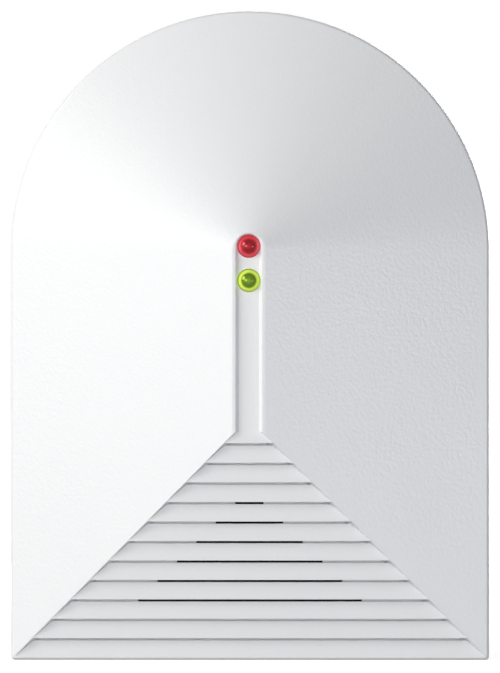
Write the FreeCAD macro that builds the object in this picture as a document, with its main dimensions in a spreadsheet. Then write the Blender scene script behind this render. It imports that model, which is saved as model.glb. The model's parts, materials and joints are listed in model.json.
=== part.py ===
import FreeCAD, Part
import math
import os
import Sketcher

# A glass break sensor for a wall: base plate, front cover and everything between them.
# The frame has its origin on the wall, at the centre of the housing's round top.
# X is to the right, Z is up, and the front looks along -Y, so a depth is how far off the wall a thing is.

DRIVING_SIZES = {
    # the housing as a whole
    "body_width": 66.5,
    "straight_height": 56.75,
    "body_depth": 25.0,
    "rim_depth": 13.5,
    "ridge_land": 4.6,
    "hip_run": 31.3,
    "side_draft": 0.1,
    "rim_round": 0.45,
    # the cover's walls
    "cover_wall": 2.0,
    "roof_wall": 2.1,
    "louvre_wall": 3.1,
    # the louvres on the lower face
    "louvre_foot": 0.07,
    "louvre_pitch": 2.71,
    "louvre_count": 11,
    "groove_height": 0.32,
    "groove_depth": 0.6,
    "lip_chamfer": 0.14,
    "flank_lean": 0.36,
    "slit_top_width": 3.9,
    "slit_first": 3,
    "slit_count": 6,
    # the channel along the ridge and its two LEDs
    "channel_width": 3.64,
    "channel_depth": 0.55,
    "channel_end": 25.3,
    "led_height": 0.5,
    "led_spacing": 4.72,
    "led_diameter": 3.0,
    "led_length": 5.2,
    "led_flange_diameter": 3.8,
    "led_flange": 1.0,
    "led_proud": 0.5,
    "led_hole_gap": 0.12,
    "spacer_diameter": 4.3,
    "spacer_bore": 3.3,
    # the base plate
    "base_depth": 5.0,
    "base_wall": 2.0,
    "base_side": 2.0,
    "base_edge": 0.5,
    "parting_gap": 0.3,
    "tongue_height": 1.5,
    "tongue_width": 1.0,
    "tongue_gap": 0.1,
    "mount_top": 21.0,
    "mount_foot": 7.25,
    "mount_spread": 32.0,
    "mount_hole": 4.2,
    "entry_height": 22.5,
    "entry_width": 16.0,
    "entry_tall": 8.0,
    "entry_corner": 1.0,
    # the circuit board and what fastens it
    "post_height": 3.0,
    "post_diameter": 5.0,
    "post_spread": 44.0,
    "post_top": 4.0,
    "post_foot": 16.0,
    "post_pin_play": 0.1,
    "post_pin_proud": 0.6,
    "pilot_spare": 0.2,
    "board_thickness": 1.6,
    "board_width": 54.0,
    "board_top": 16.0,
    "board_foot": 11.25,
    "board_hole": 2.5,
    "screw_diameter": 2.2,
    "screw_length": 5.0,
    "screw_head": 4.2,
    "screw_head_height": 1.5,
    "screw_gap": 0.05,
    "screw_recess": 0.8,
    "screw_recess_width": 0.55,
    # pins and leads through the board
    "lead_tail": 1.2,
    "lead_width": 0.5,
    "lead_pitch": 2.54,
    "pin_width": 0.6,
    "pin_gap": 0.06,
    # the screw terminals
    "terminal_ways": 6,
    "terminal_pitch": 5.0,
    "terminal_depth": 8.0,
    "terminal_tall": 8.2,
    "terminal_centre": 11.4,
    "terminal_wall": 1.2,
    "terminal_floor": 1.0,
    "clamp_tall": 4.6,
    "clamp_metal": 0.5,
    "clamp_gap": 0.15,
    "clamp_screw": 2.4,
    "clamp_screw_below": 1.6,
    "clamp_screw_above": 1.5,
    "clamp_slot": 0.6,
    "clamp_slot_depth": 0.8,
    "terminal_pin": 0.9,
    # the microphone and the cloth behind the slits
    "capsule_diameter": 9.7,
    "capsule_height": 6.0,
    "boot_wall": 1.1,
    "boot_floor": 0.8,
    "boot_lip": 0.5,
    "microphone_height": 17.5,
    "boot_passage": 1.2,
    "capsule_port": 7.3,
    "port_depth": 0.4,
    "screen_thickness": 0.6,
    "screen_margin": 4.0,
    "screen_foot": 5.0,
    "screen_head": 24.5,
    # the tamper switch
    "tamper_across": 19.0,
    "tamper_height": 29.5,
    "tamper_square": 6.0,
    "tamper_body": 5.0,
    "tamper_lid": 1.5,
    "tamper_floor": 1.4,
    "tamper_stem": 3.0,
    "tamper_collar": 4.0,
    "tamper_collar_height": 0.7,
    "tamper_stand": 2.0,
    "tamper_travel": 0.5,
    "tamper_gap": 0.05,
    "tamper_post": 4.2,
    # the relay and the chips
    "relay_across": 18.0,
    "relay_centre": -10.0,
    "relay_width": 10.0,
    "relay_length": 15.0,
    "relay_tall": 7.0,
    "relay_foot": 0.3,
    "relay_foot_width": 1.2,
    "relay_foot_inset": 1.5,
    "relay_foot_spacing": 4.0,
    "chip_pitch": 1.27,
    "chip_lead": 0.42,
    "chip_lead_metal": 0.2,
    "chip_reach": 1.4,
    "chip_lift": 0.15,
    "controller_across": 14.5,
    "controller_height": 27.25,
    "controller_width": 7.5,
    "controller_length": 12.8,
    "controller_thickness": 2.3,
    "controller_leads": 10,
    "amplifier_across": 11.5,
    "amplifier_centre": -15.5,
    "amplifier_width": 3.9,
    "amplifier_length": 8.65,
    "amplifier_thickness": 1.5,
    "amplifier_leads": 7,
    # the capacitors and the crystal
    "reservoir_across": 14.5,
    "reservoir_centre": -3.5,
    "reservoir_diameter": 8.0,
    "reservoir_height": 9.0,
    "reservoir_lead_pitch": 3.5,
    "filter_across": 23.0,
    "filter_centre": -12.0,
    "filter_diameter": 5.0,
    "filter_height": 6.6,
    "filter_spacing": 6.5,
    "filter_lead_pitch": 2.0,
    "neck_depth": 0.25,
    "neck_height": 0.5,
    "neck_above_board": 1.2,
    "crystal_height": 15.5,
    "crystal_length": 10.8,
    "crystal_width": 4.2,
    "crystal_thickness": 3.4,
    "crystal_lead_pitch": 4.88,
    # the jumpers and the chip resistors
    "jumper_centre": 16.5,
    "board_gap": 1.6,
    "header_pitch": 2.54,
    "header_height": 2.5,
    "header_pin": 0.64,
    "header_pin_height": 7.2,
    "header_gap": 0.04,
    "jumper_width": 2.4,
    "jumper_height": 5.4,
    "resistor_width": 1.25,
    "resistor_length": 2.0,
    "resistor_height": 0.55,
    "resistor_row_spacing": 2.6,
    "resistor_column_spacing": 3.0,
    "upper_rows_side": 4.5,
    "upper_rows_top": 10.5,
    "lower_row_height": 32.75,
    "edge_column_side": 24.5,
    "edge_column_height": 34.75,
    # the two snaps that hold the cover
    "snap_width": 8.0,
    "snap_thickness": 1.2,
    "snap_gap": 0.4,
    "snap_bite": 0.7,
    "snap_catch": 9.0,
    "snap_barb": 1.6,
    "snap_land": 0.3,
    "snap_root": 0.5,
    "snap_play": 0.15,
    "notch_width": 6.0,
    "notch_height": 1.4,
}

doc = FreeCAD.newDocument("glass_break_sensor")
sheet = doc.addObject("Spreadsheet::Sheet", "Sizes")
for row, (alias, number) in enumerate(DRIVING_SIZES.items(), start=1):
    sheet.set(f"A{row}", alias)
    sheet.set(f"B{row}", str(number))
    sheet.setAlias(f"B{row}", alias)
doc.recompute()


class Size:
    """A number together with the formula that gives it, so one line serves both."""

    def __init__(self, value, text):
        self.value = value
        self.text = text

    def __add__(self, other):
        other = as_size(other)
        return Size(self.value + other.value, f"({self.text} + {other.text})")

    def __radd__(self, other):
        return as_size(other) + self

    def __sub__(self, other):
        other = as_size(other)
        return Size(self.value - other.value, f"({self.text} - {other.text})")

    def __rsub__(self, other):
        return as_size(other) - self

    def __mul__(self, other):
        other = as_size(other)
        return Size(self.value * other.value, f"({self.text} * {other.text})")

    def __rmul__(self, other):
        return as_size(other) * self

    def __truediv__(self, other):
        other = as_size(other)
        return Size(self.value / other.value, f"({self.text} / {other.text})")

    def __rtruediv__(self, other):
        return as_size(other) / self

    def __neg__(self):
        return Size(-self.value, f"(0 - {self.text})")


def as_size(number):
    """Any plain number as a Size."""
    if isinstance(number, Size):
        return number
    return Size(float(number), f"({number})")


def root(number):
    """The square root of a Size."""
    return Size(math.sqrt(number.value), f"sqrt({number.text})")


class Aliases:
    """The sheet's cells, each read by its alias."""

    def __getattr__(self, alias):
        return Size(float(sheet.get(alias)), f"Sizes.{alias}")


size = Aliases()

# What the driving sizes give
half_width = size.body_width / 2
rim_half = half_width - size.side_draft
land_half = size.ridge_land / 2
slope = (size.body_depth - size.rim_depth) / (rim_half - land_half)
slant = root(1 + slope * slope)
hip_slope = (size.body_depth - size.rim_depth) / size.hip_run
hip_slant = root(1 + hip_slope * hip_slope)
bottom = -size.straight_height
cover_back = size.base_depth + size.parting_gap
board_back = size.base_wall + size.post_height
board_front = board_back + size.board_thickness
microphone_centre = bottom + size.microphone_height
red_centre = size.led_height
green_centre = size.led_height - size.led_spacing

# How far cutting shapes run past what they cut: across an open side, and inside a piece
BEYOND = 3.0
OVERLAP = 1.0
NEARLY_NOTHING = 1e-4

finished = {}


def bind(thing, **formulas):
    """Ties properties to the sheet; a double underscore in a name stands for a dot."""
    for name, formula in formulas.items():
        thing.setExpression(name.replace("__", "."), as_size(formula).text)


def stand(thing, x=0, y=0, z=0, turn=None):
    """Places a thing by formulas."""
    if turn is not None:
        thing.Placement = FreeCAD.Placement(FreeCAD.Vector(0, 0, 0), turn)
    bind(thing, Placement__Base__x=x, Placement__Base__y=y, Placement__Base__z=z)
    return thing


def finish(thing, label):
    """Gives a finished piece its name."""
    thing.Label = label
    finished[label] = thing
    return thing


# Sketches

FRONT = "XZ_Plane"
SIDE = "YZ_Plane"
TOP = "XY_Plane"


def new_sketch(body, name, role, offset):
    """An empty sketch on one of the body's own origin planes, moved along its normal by a formula."""
    sketch = body.newObject("Sketcher::SketchObject", name)
    plane = next(part for part in body.Origin.OriginFeatures if part.Role == role)
    sketch.AttachmentSupport = [(plane, "")]
    sketch.MapMode = "FlatFace"
    bind(sketch, AttachmentOffset__Base__z=offset)
    return sketch


def pin_point(sketch, edge, end, x, y):
    """Holds one end of an edge at a place given by two formulas, measured from the sketch's origin."""
    for kind, axis, formula in (("DistanceX", -2, as_size(x)), ("DistanceY", -1, as_size(y))):
        if abs(formula.value) < 1e-9:
            sketch.addConstraint(Sketcher.Constraint("PointOnObject", edge, end, axis))
        else:
            index = sketch.addConstraint(Sketcher.Constraint(kind, -1, 1, edge, end, formula.value))
            sketch.setExpression(f"Constraints[{index}]", formula.text)


def polygon_sketch(body, name, role, corners, offset=0):
    """A closed outline of straight edges with every corner tied to the sheet."""
    sketch = new_sketch(body, name, role, offset)
    places = [FreeCAD.Vector(as_size(x).value, as_size(y).value, 0) for x, y in corners]
    for here, there in zip(places, places[1:] + places[:1]):
        sketch.addGeometry(Part.LineSegment(here, there), False)
    for edge, (x, y) in enumerate(corners):
        sketch.addConstraint(Sketcher.Constraint("Coincident", edge, 2, (edge + 1) % len(corners), 1))
        pin_point(sketch, edge, 1, x, y)
    return sketch


def circle_sketch(body, name, places, radius, offset=0):
    """Equal circles on the front plane."""
    sketch = new_sketch(body, name, FRONT, offset)
    radius = as_size(radius)
    for x, z in places:
        centre = FreeCAD.Vector(as_size(x).value, as_size(z).value, 0)
        edge = sketch.addGeometry(Part.Circle(centre, FreeCAD.Vector(0, 0, 1), radius.value), False)
        index = sketch.addConstraint(Sketcher.Constraint("Radius", edge, radius.value))
        sketch.setExpression(f"Constraints[{index}]", radius.text)
        pin_point(sketch, edge, 3, x, z)
    return sketch


def arch_sketch(body, name, radius, foot, offset):
    """A half circle on two straight sides, with its centre at the origin."""
    sketch = new_sketch(body, name, FRONT, offset)
    r, low = radius.value, foot.value
    corners = [(-r, 0), (-r, low), (r, low), (r, 0)]
    for here, there in zip(corners, corners[1:]):
        sketch.addGeometry(Part.LineSegment(FreeCAD.Vector(*here, 0), FreeCAD.Vector(*there, 0)), False)
    circle = Part.Circle(FreeCAD.Vector(0, 0, 0), FreeCAD.Vector(0, 0, 1), r)
    arc = sketch.addGeometry(Part.ArcOfCircle(circle, 0, math.pi), False)
    sketch.addConstraint(Sketcher.Constraint("Coincident", 0, 2, 1, 1))
    sketch.addConstraint(Sketcher.Constraint("Coincident", 1, 2, 2, 1))
    sketch.addConstraint(Sketcher.Constraint("Coincident", 2, 2, arc, 1))
    sketch.addConstraint(Sketcher.Constraint("Coincident", arc, 2, 0, 1))
    sketch.addConstraint(Sketcher.Constraint("Coincident", arc, 3, -1, 1))
    pin_point(sketch, 0, 1, -radius, 0)
    pin_point(sketch, 1, 1, -radius, foot)
    pin_point(sketch, 2, 1, radius, foot)
    sketch.addConstraint(Sketcher.Constraint("PointOnObject", 2, 2, -1))
    return sketch


def housing_sketch(body, name, inset, offset):
    """The housing's own outline, drawn in all round by a formula."""
    return arch_sketch(body, name, half_width - inset, bottom + inset, offset)


# Features of a body

def new_body(name):
    return doc.addObject("PartDesign::Body", name)


def pad(body, name, sketch, length, reverse=False, both_ways=False):
    """Raises a sketch along its normal."""
    feature = body.newObject("PartDesign::Pad", name)
    feature.Profile = sketch
    feature.Reversed = reverse
    feature.SideType = "Symmetric" if both_ways else "One side"
    bind(feature, Length=length)
    doc.recompute()
    return feature


def pocket(body, name, sketch, length, reverse=False, both_ways=False):
    """Sinks a sketch against its normal, and makes sure that it took something away."""
    before = body.Shape.Volume
    feature = body.newObject("PartDesign::Pocket", name)
    feature.Profile = sketch
    feature.Reversed = reverse
    feature.SideType = "Symmetric" if both_ways else "One side"
    bind(feature, Length=length)
    doc.recompute()
    if not body.Shape.Volume < before:
        raise ValueError(f"{name} cuts nothing")
    return feature


def edge_names(body, wanted):
    """The names of a body's edges whose box passes a test."""
    edges = enumerate(body.Shape.Edges, start=1)
    return [f"Edge{number}" for number, edge in edges if wanted(edge.BoundBox)]


def dress(body, name, kind, wanted, amount):
    """Chamfers or fillets the edges that a test picks out."""
    last, edges = body.Tip, edge_names(body, wanted)
    feature = body.newObject(f"PartDesign::{kind}", name)
    feature.Base = (last, edges)
    bind(feature, **{"Size" if kind == "Chamfer" else "Radius": amount})
    doc.recompute()
    return feature


def half_turn(body, name, sketch):
    """Turns a half section round the sketch's upright axis, through the upper half."""
    feature = body.newObject("PartDesign::Revolution", name)
    feature.Profile = sketch
    feature.ReferenceAxis = (sketch, ["V_Axis"])
    feature.Angle = 180
    feature.Reversed = True
    doc.recompute()
    return feature


# Plain solids and booleans

TO_FRONT = FreeCAD.Rotation(FreeCAD.Vector(1, 0, 0), 90)


def block(name, x, z, wide, tall, depth, thick):
    """A block centred on x and z in the front view, standing on a depth and growing to the front."""
    thing = doc.addObject("Part::Box", name)
    bind(thing, Length=wide, Width=thick, Height=tall)
    return stand(thing, x - as_size(wide) / 2, -(as_size(depth) + thick), z - as_size(tall) / 2)


def rod(name, x, z, diameter, depth, length):
    """A round bar that stands on a depth and grows to the front."""
    thing = doc.addObject("Part::Cylinder", name)
    bind(thing, Radius=as_size(diameter) / 2, Height=length)
    return stand(thing, x, -as_size(depth), z, TO_FRONT)


def fuse(name, parts):
    thing = doc.addObject("Part::MultiFuse", name)
    thing.Shapes = parts
    thing.Refine = True
    return thing


def cut(name, base, tool):
    thing = doc.addObject("Part::Cut", name)
    thing.Base = base
    thing.Tool = tool
    thing.Refine = True
    return thing


def common(name, parts):
    thing = doc.addObject("Part::MultiCommon", name)
    thing.Shapes = parts
    thing.Refine = True
    return thing


def group(name, parts):
    """Separate solids that are one bought-in set."""
    thing = doc.addObject("Part::Compound", name)
    thing.Links = parts
    return thing


# The cover

def arched_roof(name, half_section, foot, centre=0):
    """A straight length with a half-round end: one half section, padded down and turned over the top."""
    body = new_body(name)
    mirrored = [(-x, y) for x, y in reversed(half_section) if as_size(x).value != 0]
    section = polygon_sketch(body, f"{name}_section", TOP, half_section + mirrored, centre)
    pad(body, f"{name}_length", section, centre - foot, reverse=True)
    half = [(0, half_section[0][1])] + half_section + [(0, half_section[-1][1])]
    half_sketch = polygon_sketch(body, f"{name}_half", TOP, half, centre)
    half_turn(body, f"{name}_top", half_sketch)
    return body


def hip_cut(body, name, sink):
    """Slopes the lower end of a roof from the rim up to the ridge, deeper by sink."""
    foot = bottom - BEYOND
    top = bottom + (rim_half + BEYOND)
    rise_foot = size.rim_depth - sink - hip_slope * BEYOND
    rise_top = size.rim_depth - sink + hip_slope * (rim_half + BEYOND)
    out = -(rise_top + BEYOND)
    corners = [(-rise_foot, foot), (-rise_top, top), (out, top), (out, foot)]
    sketch = polygon_sketch(body, f"{name}_profile", SIDE, corners)
    pocket(body, name, sketch, size.body_width + BEYOND, both_ways=True)


def cover_outside():
    """The housing's outer form: drafted sides, a rounded rim, two facets, a cone and a flat ridge."""
    section = [
        (half_width, -cover_back),
        (rim_half, -(size.rim_depth - size.rim_round)),
        (rim_half - size.rim_round * slant / 2, -(size.rim_depth + size.rim_round * slope / 2)),
        (land_half, -size.body_depth),
    ]
    body = arched_roof("cover_outside", section, bottom)
    hip_cut(body, "outside_hip", 0)
    return body


def cover_inside():
    """The hollow of the cover, a smaller roof of the same pitch."""
    inner_half = half_width - size.cover_wall
    inner_rim = rim_half - size.cover_wall
    inner_rim_depth = size.rim_depth + slope * size.cover_wall - size.roof_wall
    section = [
        (inner_half, -size.base_depth),
        (inner_rim, -inner_rim_depth),
        (land_half, -(size.body_depth - size.roof_wall)),
    ]
    body = arched_roof("cover_inside", section, bottom + size.cover_wall)
    hip_cut(body, "inside_hip", size.louvre_wall)
    return body


def tongue_rebate():
    """The step inside the cover's edge that slips over the base's tongue."""
    inset = size.cover_wall - size.tongue_width - size.tongue_gap
    body = new_body("tongue_rebate")
    sketch = housing_sketch(body, "rebate_outline", inset, size.base_depth)
    pad(body, "rebate", sketch, size.tongue_height + size.tongue_gap)
    return body


def hip_height(depth):
    """How far above the bottom edge the louvred face reaches a depth."""
    return (depth - size.rim_depth) / hip_slope


def flanks():
    """The room between the two side walls of the louvres, which run along the hips and lean inwards."""
    lean = size.flank_lean / math.sqrt(2)
    skew = (1 / slope + lean) / (1 / hip_slope - lean)
    foot = -BEYOND
    ends = []
    for depth in (size.rim_depth - size.louvre_wall, size.body_depth + BEYOND):
        up = hip_height(depth)
        across = rim_half - (depth - size.rim_depth) / slope
        wide = across + (up - foot) * skew
        tip = up + across / skew
        places = [(-wide, foot), (wide, foot), (0, tip)]
        ends.append([
            FreeCAD.Vector(as_size(x).value, -depth.value, (bottom + z).value) for x, z in places
        ])
    back, front = ends
    outlines = [back, front]
    for here, there in ((0, 1), (1, 2), (2, 0)):
        outlines.append([back[here], back[there], front[there], front[here]])
    faces = [Part.Face(Part.makePolygon(corners + corners[:1])) for corners in outlines]
    feature = doc.addObject("Part::Feature", "flanks")
    feature.Shape = Part.Solid(Part.Shell(faces))
    return feature


def louvre_steps():
    """One step of the louvres, a flat land over a narrow groove, repeated up the slope."""
    body = new_body("louvre_steps")
    rise = size.louvre_foot + size.louvre_pitch
    edge = size.rim_depth + hip_slope * rise
    floor = edge - hip_slope * size.louvre_pitch - size.groove_depth
    low, high = bottom + rise, bottom + rise + size.louvre_pitch
    out = edge + BEYOND
    profile = [
        (-out, low - size.groove_height),
        (-floor, low - size.groove_height),
        (-floor, low),
        (-(edge - size.lip_chamfer), low),
        (-edge, low + size.lip_chamfer),
        (-edge, high),
        (-out, high),
    ]
    sketch = polygon_sketch(body, "step_profile", SIDE, profile)
    run = sketch.addGeometry(
        Part.LineSegment(FreeCAD.Vector(0, 0, 0), FreeCAD.Vector(-hip_slope.value, 1, 0)), True
    )
    pin_point(sketch, run, 1, 0, 0)
    pin_point(sketch, run, 2, -hip_slope, 1)
    step = pad(body, "step", sketch, size.body_width + 2 * BEYOND, both_ways=True)
    steps = body.newObject("PartDesign::LinearPattern", "steps")
    steps.Originals = [step]
    steps.Direction = (sketch, ["Axis0"])
    climb = size.louvre_pitch * hip_slant * (size.louvre_count - 1)
    bind(steps, Length=climb, Occurrences=size.louvre_count)
    body.Tip = steps
    doc.recompute()
    return body


def lowest_step():
    """The land below the first groove."""
    edge = size.rim_depth + hip_slope * size.louvre_foot
    middle = bottom + size.louvre_foot + size.louvre_pitch / 2
    return block("lowest_step", 0, middle, size.body_width + 2 * BEYOND, size.louvre_pitch, edge, BEYOND)


def slit_width(number):
    """How wide the slit in a groove is: the ends of the slits run side by side with the hips."""
    steps_down = size.slit_first + size.slit_count - 1 - number
    return size.slit_top_width + 2 * size.louvre_pitch * steps_down


def slits():
    """The open slits in the middle grooves."""
    cuts = []
    first = int(size.slit_first.value)
    for number in range(first, first + int(size.slit_count.value)):
        wide = slit_width(number)
        middle = bottom + size.louvre_foot + size.louvre_pitch * number - size.groove_height / 2
        depth = size.rim_depth - size.louvre_wall - BEYOND
        through = size.body_depth
        cuts.append(block(f"slit_{number}", 0, middle, wide, size.groove_height, depth, through))
    return cuts


def channel():
    """The shallow channel along the ridge, with sloping sides and a round upper end at the red LED."""
    top_half = size.channel_width / 2
    floor_half = top_half - size.channel_depth
    floor = size.body_depth - size.channel_depth
    section = [
        (floor_half, -floor),
        (top_half, -size.body_depth),
        (top_half, -(size.body_depth + BEYOND)),
    ]
    return arched_roof("channel", section, -size.channel_end, red_centre)


def led_holes():
    diameter = size.led_diameter + 2 * size.led_hole_gap
    start = size.body_depth - size.roof_wall - BEYOND
    return [
        rod("red_hole", 0, red_centre, diameter, start, 2 * BEYOND + size.roof_wall),
        rod("green_hole", 0, green_centre, diameter, start, 2 * BEYOND + size.roof_wall),
    ]


def snap_window(name, wall, way):
    """The pocket in the cover's wall that a barb catches in, open to the inside."""
    deep = size.snap_bite + size.snap_play
    middle = wall + way * (deep - OVERLAP) / 2
    wide = size.snap_width + 4 * size.snap_play
    start = size.snap_catch - size.snap_play / 3
    return block(name, 0, middle, wide, deep + OVERLAP, start, size.snap_barb + 2 * size.snap_play)


def pry_notch():
    """The notch in the cover's lower edge, where a screwdriver presses the lower snap free."""
    tall = 2 * (size.cover_wall + OVERLAP)
    return block("pry_notch", 0, bottom, size.notch_width, tall, size.base_depth, size.notch_height)


def front_cover():
    shell = cut("cover_shell", cover_outside(), cover_inside())
    louvres = common("louvres", [fuse("all_steps", [louvre_steps(), lowest_step()]), flanks()])
    windows = [
        snap_window("upper_window", half_width - size.cover_wall, 1),
        snap_window("lower_window", bottom + size.cover_wall, -1),
    ]
    cuts = [louvres, channel(), tongue_rebate(), pry_notch()] + windows + slits() + led_holes()
    solid = cut("cut_cover", shell, fuse("cover_cuts", cuts))
    return finish(fuse("front_cover_solid", [solid, tamper_post()]), "front_cover")


# The base plate

def screw_places():
    """Two posts take screws, at opposite corners of the board."""
    half = size.post_spread / 2
    return [(-half, size.post_top), (half, bottom + size.post_foot)]


def pin_places():
    """The other two posts end in a locating pin."""
    half = size.post_spread / 2
    return [(half, size.post_top), (-half, bottom + size.post_foot)]


def mount_places():
    half = size.mount_spread / 2
    return [(x, z) for x in (-half, half) for z in (size.mount_top, bottom + size.mount_foot)]


def snap_tongue(name, wall, way):
    """A springy tongue with a barb that catches in the cover's wall; way is 1 for up and -1 for down."""
    body = new_body(name)
    outer = wall - way * size.snap_gap
    inner = outer - way * size.snap_thickness
    barb = wall + way * size.snap_bite
    catch = size.snap_catch
    tip = catch + size.snap_barb
    root_depth = size.base_wall - size.snap_root
    profile = [
        (-root_depth, inner),
        (-root_depth, outer),
        (-catch, outer),
        (-catch, barb),
        (-(catch + size.snap_land), barb),
        (-tip, outer),
        (-tip, inner),
    ]
    sketch = polygon_sketch(body, f"{name}_profile", SIDE, profile)
    pad(body, f"{name}_pad", sketch, size.snap_width, both_ways=True)
    return body


def rear_base():
    body = new_body("base_tray")
    tongue_inset = size.base_side - size.tongue_width
    rim = size.base_depth + size.tongue_height
    pad(body, "base_pad", housing_sketch(body, "base_outline", as_size(0), 0), size.base_depth)
    dress(body, "back_edge", "Chamfer", lambda box: box.YMin > -NEARLY_NOTHING, size.base_edge)
    tongue = housing_sketch(body, "tongue_outline", tongue_inset, size.base_depth)
    pad(body, "tongue", tongue, size.tongue_height)
    tray = housing_sketch(body, "tray_outline", size.base_side, rim)
    pocket(body, "tray", tray, rim - size.base_wall)
    places = screw_places() + pin_places()
    posts = circle_sketch(body, "post_circles", places, size.post_diameter / 2, size.base_wall)
    pad(body, "posts", posts, size.post_height)
    pin_radius = size.board_hole / 2 - size.post_pin_play
    pins = circle_sketch(body, "pin_circles", pin_places(), pin_radius, board_back)
    pad(body, "pins", pins, size.board_thickness + size.post_pin_proud)
    pilot_radius = size.screw_diameter / 2 + size.screw_gap
    pilots = circle_sketch(body, "pilot_circles", screw_places(), pilot_radius, board_back)
    pocket(body, "pilots", pilots, size.screw_length - size.board_thickness + size.pilot_spare)
    mounts = circle_sketch(body, "mount_circles", mount_places(), size.mount_hole / 2, size.base_wall)
    pocket(body, "mount_holes", mounts, size.base_wall)
    left, right = -size.entry_width / 2, size.entry_width / 2
    low, high = size.entry_height - size.entry_tall / 2, size.entry_height + size.entry_tall / 2
    corners = [(left, low), (right, low), (right, high), (left, high)]
    entry = polygon_sketch(body, "entry_outline", FRONT, corners, size.base_wall)
    pocket(body, "entry", entry, size.base_wall)

    def entry_corner(box):
        """An edge that runs straight through the wall at a corner of the wire entry."""
        across = abs(abs(box.Center.x) - right.value) + box.XLength
        up = min(abs(box.Center.z - low.value), abs(box.Center.z - high.value)) + box.ZLength
        return across + up < NEARLY_NOTHING and box.YLength > size.base_wall.value / 2

    dress(body, "entry_corners", "Fillet", entry_corner, size.entry_corner)
    snaps = [
        snap_tongue("upper_snap", half_width - size.cover_wall, 1),
        snap_tongue("lower_snap", bottom + size.cover_wall, -1),
    ]
    return finish(fuse("rear_base_solid", [body] + snaps), "rear_base")


# The circuit board and what is soldered to it

board_holes = []


def pin_group(label, places, width, up=0):
    """The square pins of one part, from the tails below the board to a height above it."""
    start = board_back - size.lead_tail
    length = board_front + up - start
    pins = [block(f"{label}_{n}", x, z, width, width, start, length) for n, (x, z) in enumerate(places)]
    board_holes.extend((x, z, width) for x, z in places)
    return finish(group(f"{label}_set", pins), label)


def led(color, centre):
    """A 3 mm LED: a flanged body with a dome, standing on two leads in a plastic tube."""
    tip = size.body_depth + size.led_proud
    radius = size.led_diameter / 2
    seat = tip - size.led_length
    body = rod(f"{color}_body", 0, centre, size.led_diameter, seat, size.led_length - radius)
    flange = rod(f"{color}_flange", 0, centre, size.led_flange_diameter, seat, size.led_flange)
    dome = doc.addObject("Part::Sphere", f"{color}_dome")
    bind(dome, Radius=radius)
    stand(dome, 0, -(tip - radius), centre)
    finish(fuse(f"{color}_led_solid", [body, flange, dome]), f"{color}_led")
    half = size.lead_pitch / 2
    pin_group(f"{color}_led_leads", [(-half, centre), (half, centre)], size.lead_width, seat - board_front)
    tube = rod(f"{color}_tube", 0, centre, size.spacer_diameter, board_front, seat - board_front)
    bore = rod(
        f"{color}_bore", 0, centre, size.spacer_bore,
        board_front - OVERLAP, seat - board_front + 2 * OVERLAP,
    )
    finish(cut(f"{color}_spacer_solid", tube, bore), f"{color}_led_spacer")


def microphone():
    """An electret capsule in a rubber boot, right behind the slits."""
    z = microphone_centre
    half = size.lead_pitch / 2
    seat = board_front + size.boot_floor
    boot_tall = size.boot_floor + size.capsule_height - size.boot_lip
    cup = rod("boot_cup", 0, z, size.capsule_diameter + 2 * size.boot_wall, board_front, boot_tall)
    hollow = rod("boot_hollow", 0, z, size.capsule_diameter, seat, boot_tall)
    passage = block(
        "boot_passage", 0, z, size.lead_pitch + size.boot_passage, size.boot_passage,
        board_front - OVERLAP, size.boot_floor + 2 * OVERLAP,
    )
    finish(cut("boot_solid", cup, fuse("boot_cuts", [hollow, passage])), "microphone_boot")
    can = rod("capsule_can", 0, z, size.capsule_diameter, seat, size.capsule_height)
    face = seat + size.capsule_height
    start = face - size.port_depth
    port = rod("capsule_port_cut", 0, z, size.capsule_port, start, size.port_depth + OVERLAP)
    finish(cut("capsule_solid", can, port), "microphone_capsule")
    pin_group("microphone_leads", [(-half, z), (half, z)], size.lead_width, size.boot_floor)


def dust_screen():
    """A thin cloth glued behind the slits, cut along lines beside the hips."""
    slab = new_body("screen_slab")
    low, high = size.screen_foot, size.screen_head
    near = size.rim_depth - size.louvre_wall
    thick = size.screen_thickness * hip_slant
    corners = ((low, 0), (high, 0), (high, thick), (low, thick))
    profile = [(-(near + hip_slope * up - sink), bottom + up) for up, sink in corners]
    sketch = polygon_sketch(slab, "screen_profile", SIDE, profile)
    pad(slab, "screen_pad", sketch, size.body_width, both_ways=True)
    top_slit = size.slit_first + size.slit_count - 1
    at_foot = slit_width(0) / 2 + size.screen_margin
    shrink = (slit_width(0) - slit_width(top_slit)) / 2 / (size.louvre_pitch * top_slit)
    wide, narrow = at_foot - shrink * low, at_foot - shrink * high
    shape = new_body("screen_shape")
    foot, head = bottom + low, bottom + high
    outline = [(-wide, foot), (wide, foot), (narrow, head), (-narrow, head)]
    pad(shape, "screen_cut", polygon_sketch(shape, "screen_outline", FRONT, outline), size.body_depth)
    return finish(common("screen_solid", [slab, shape]), "dust_screen")


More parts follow.
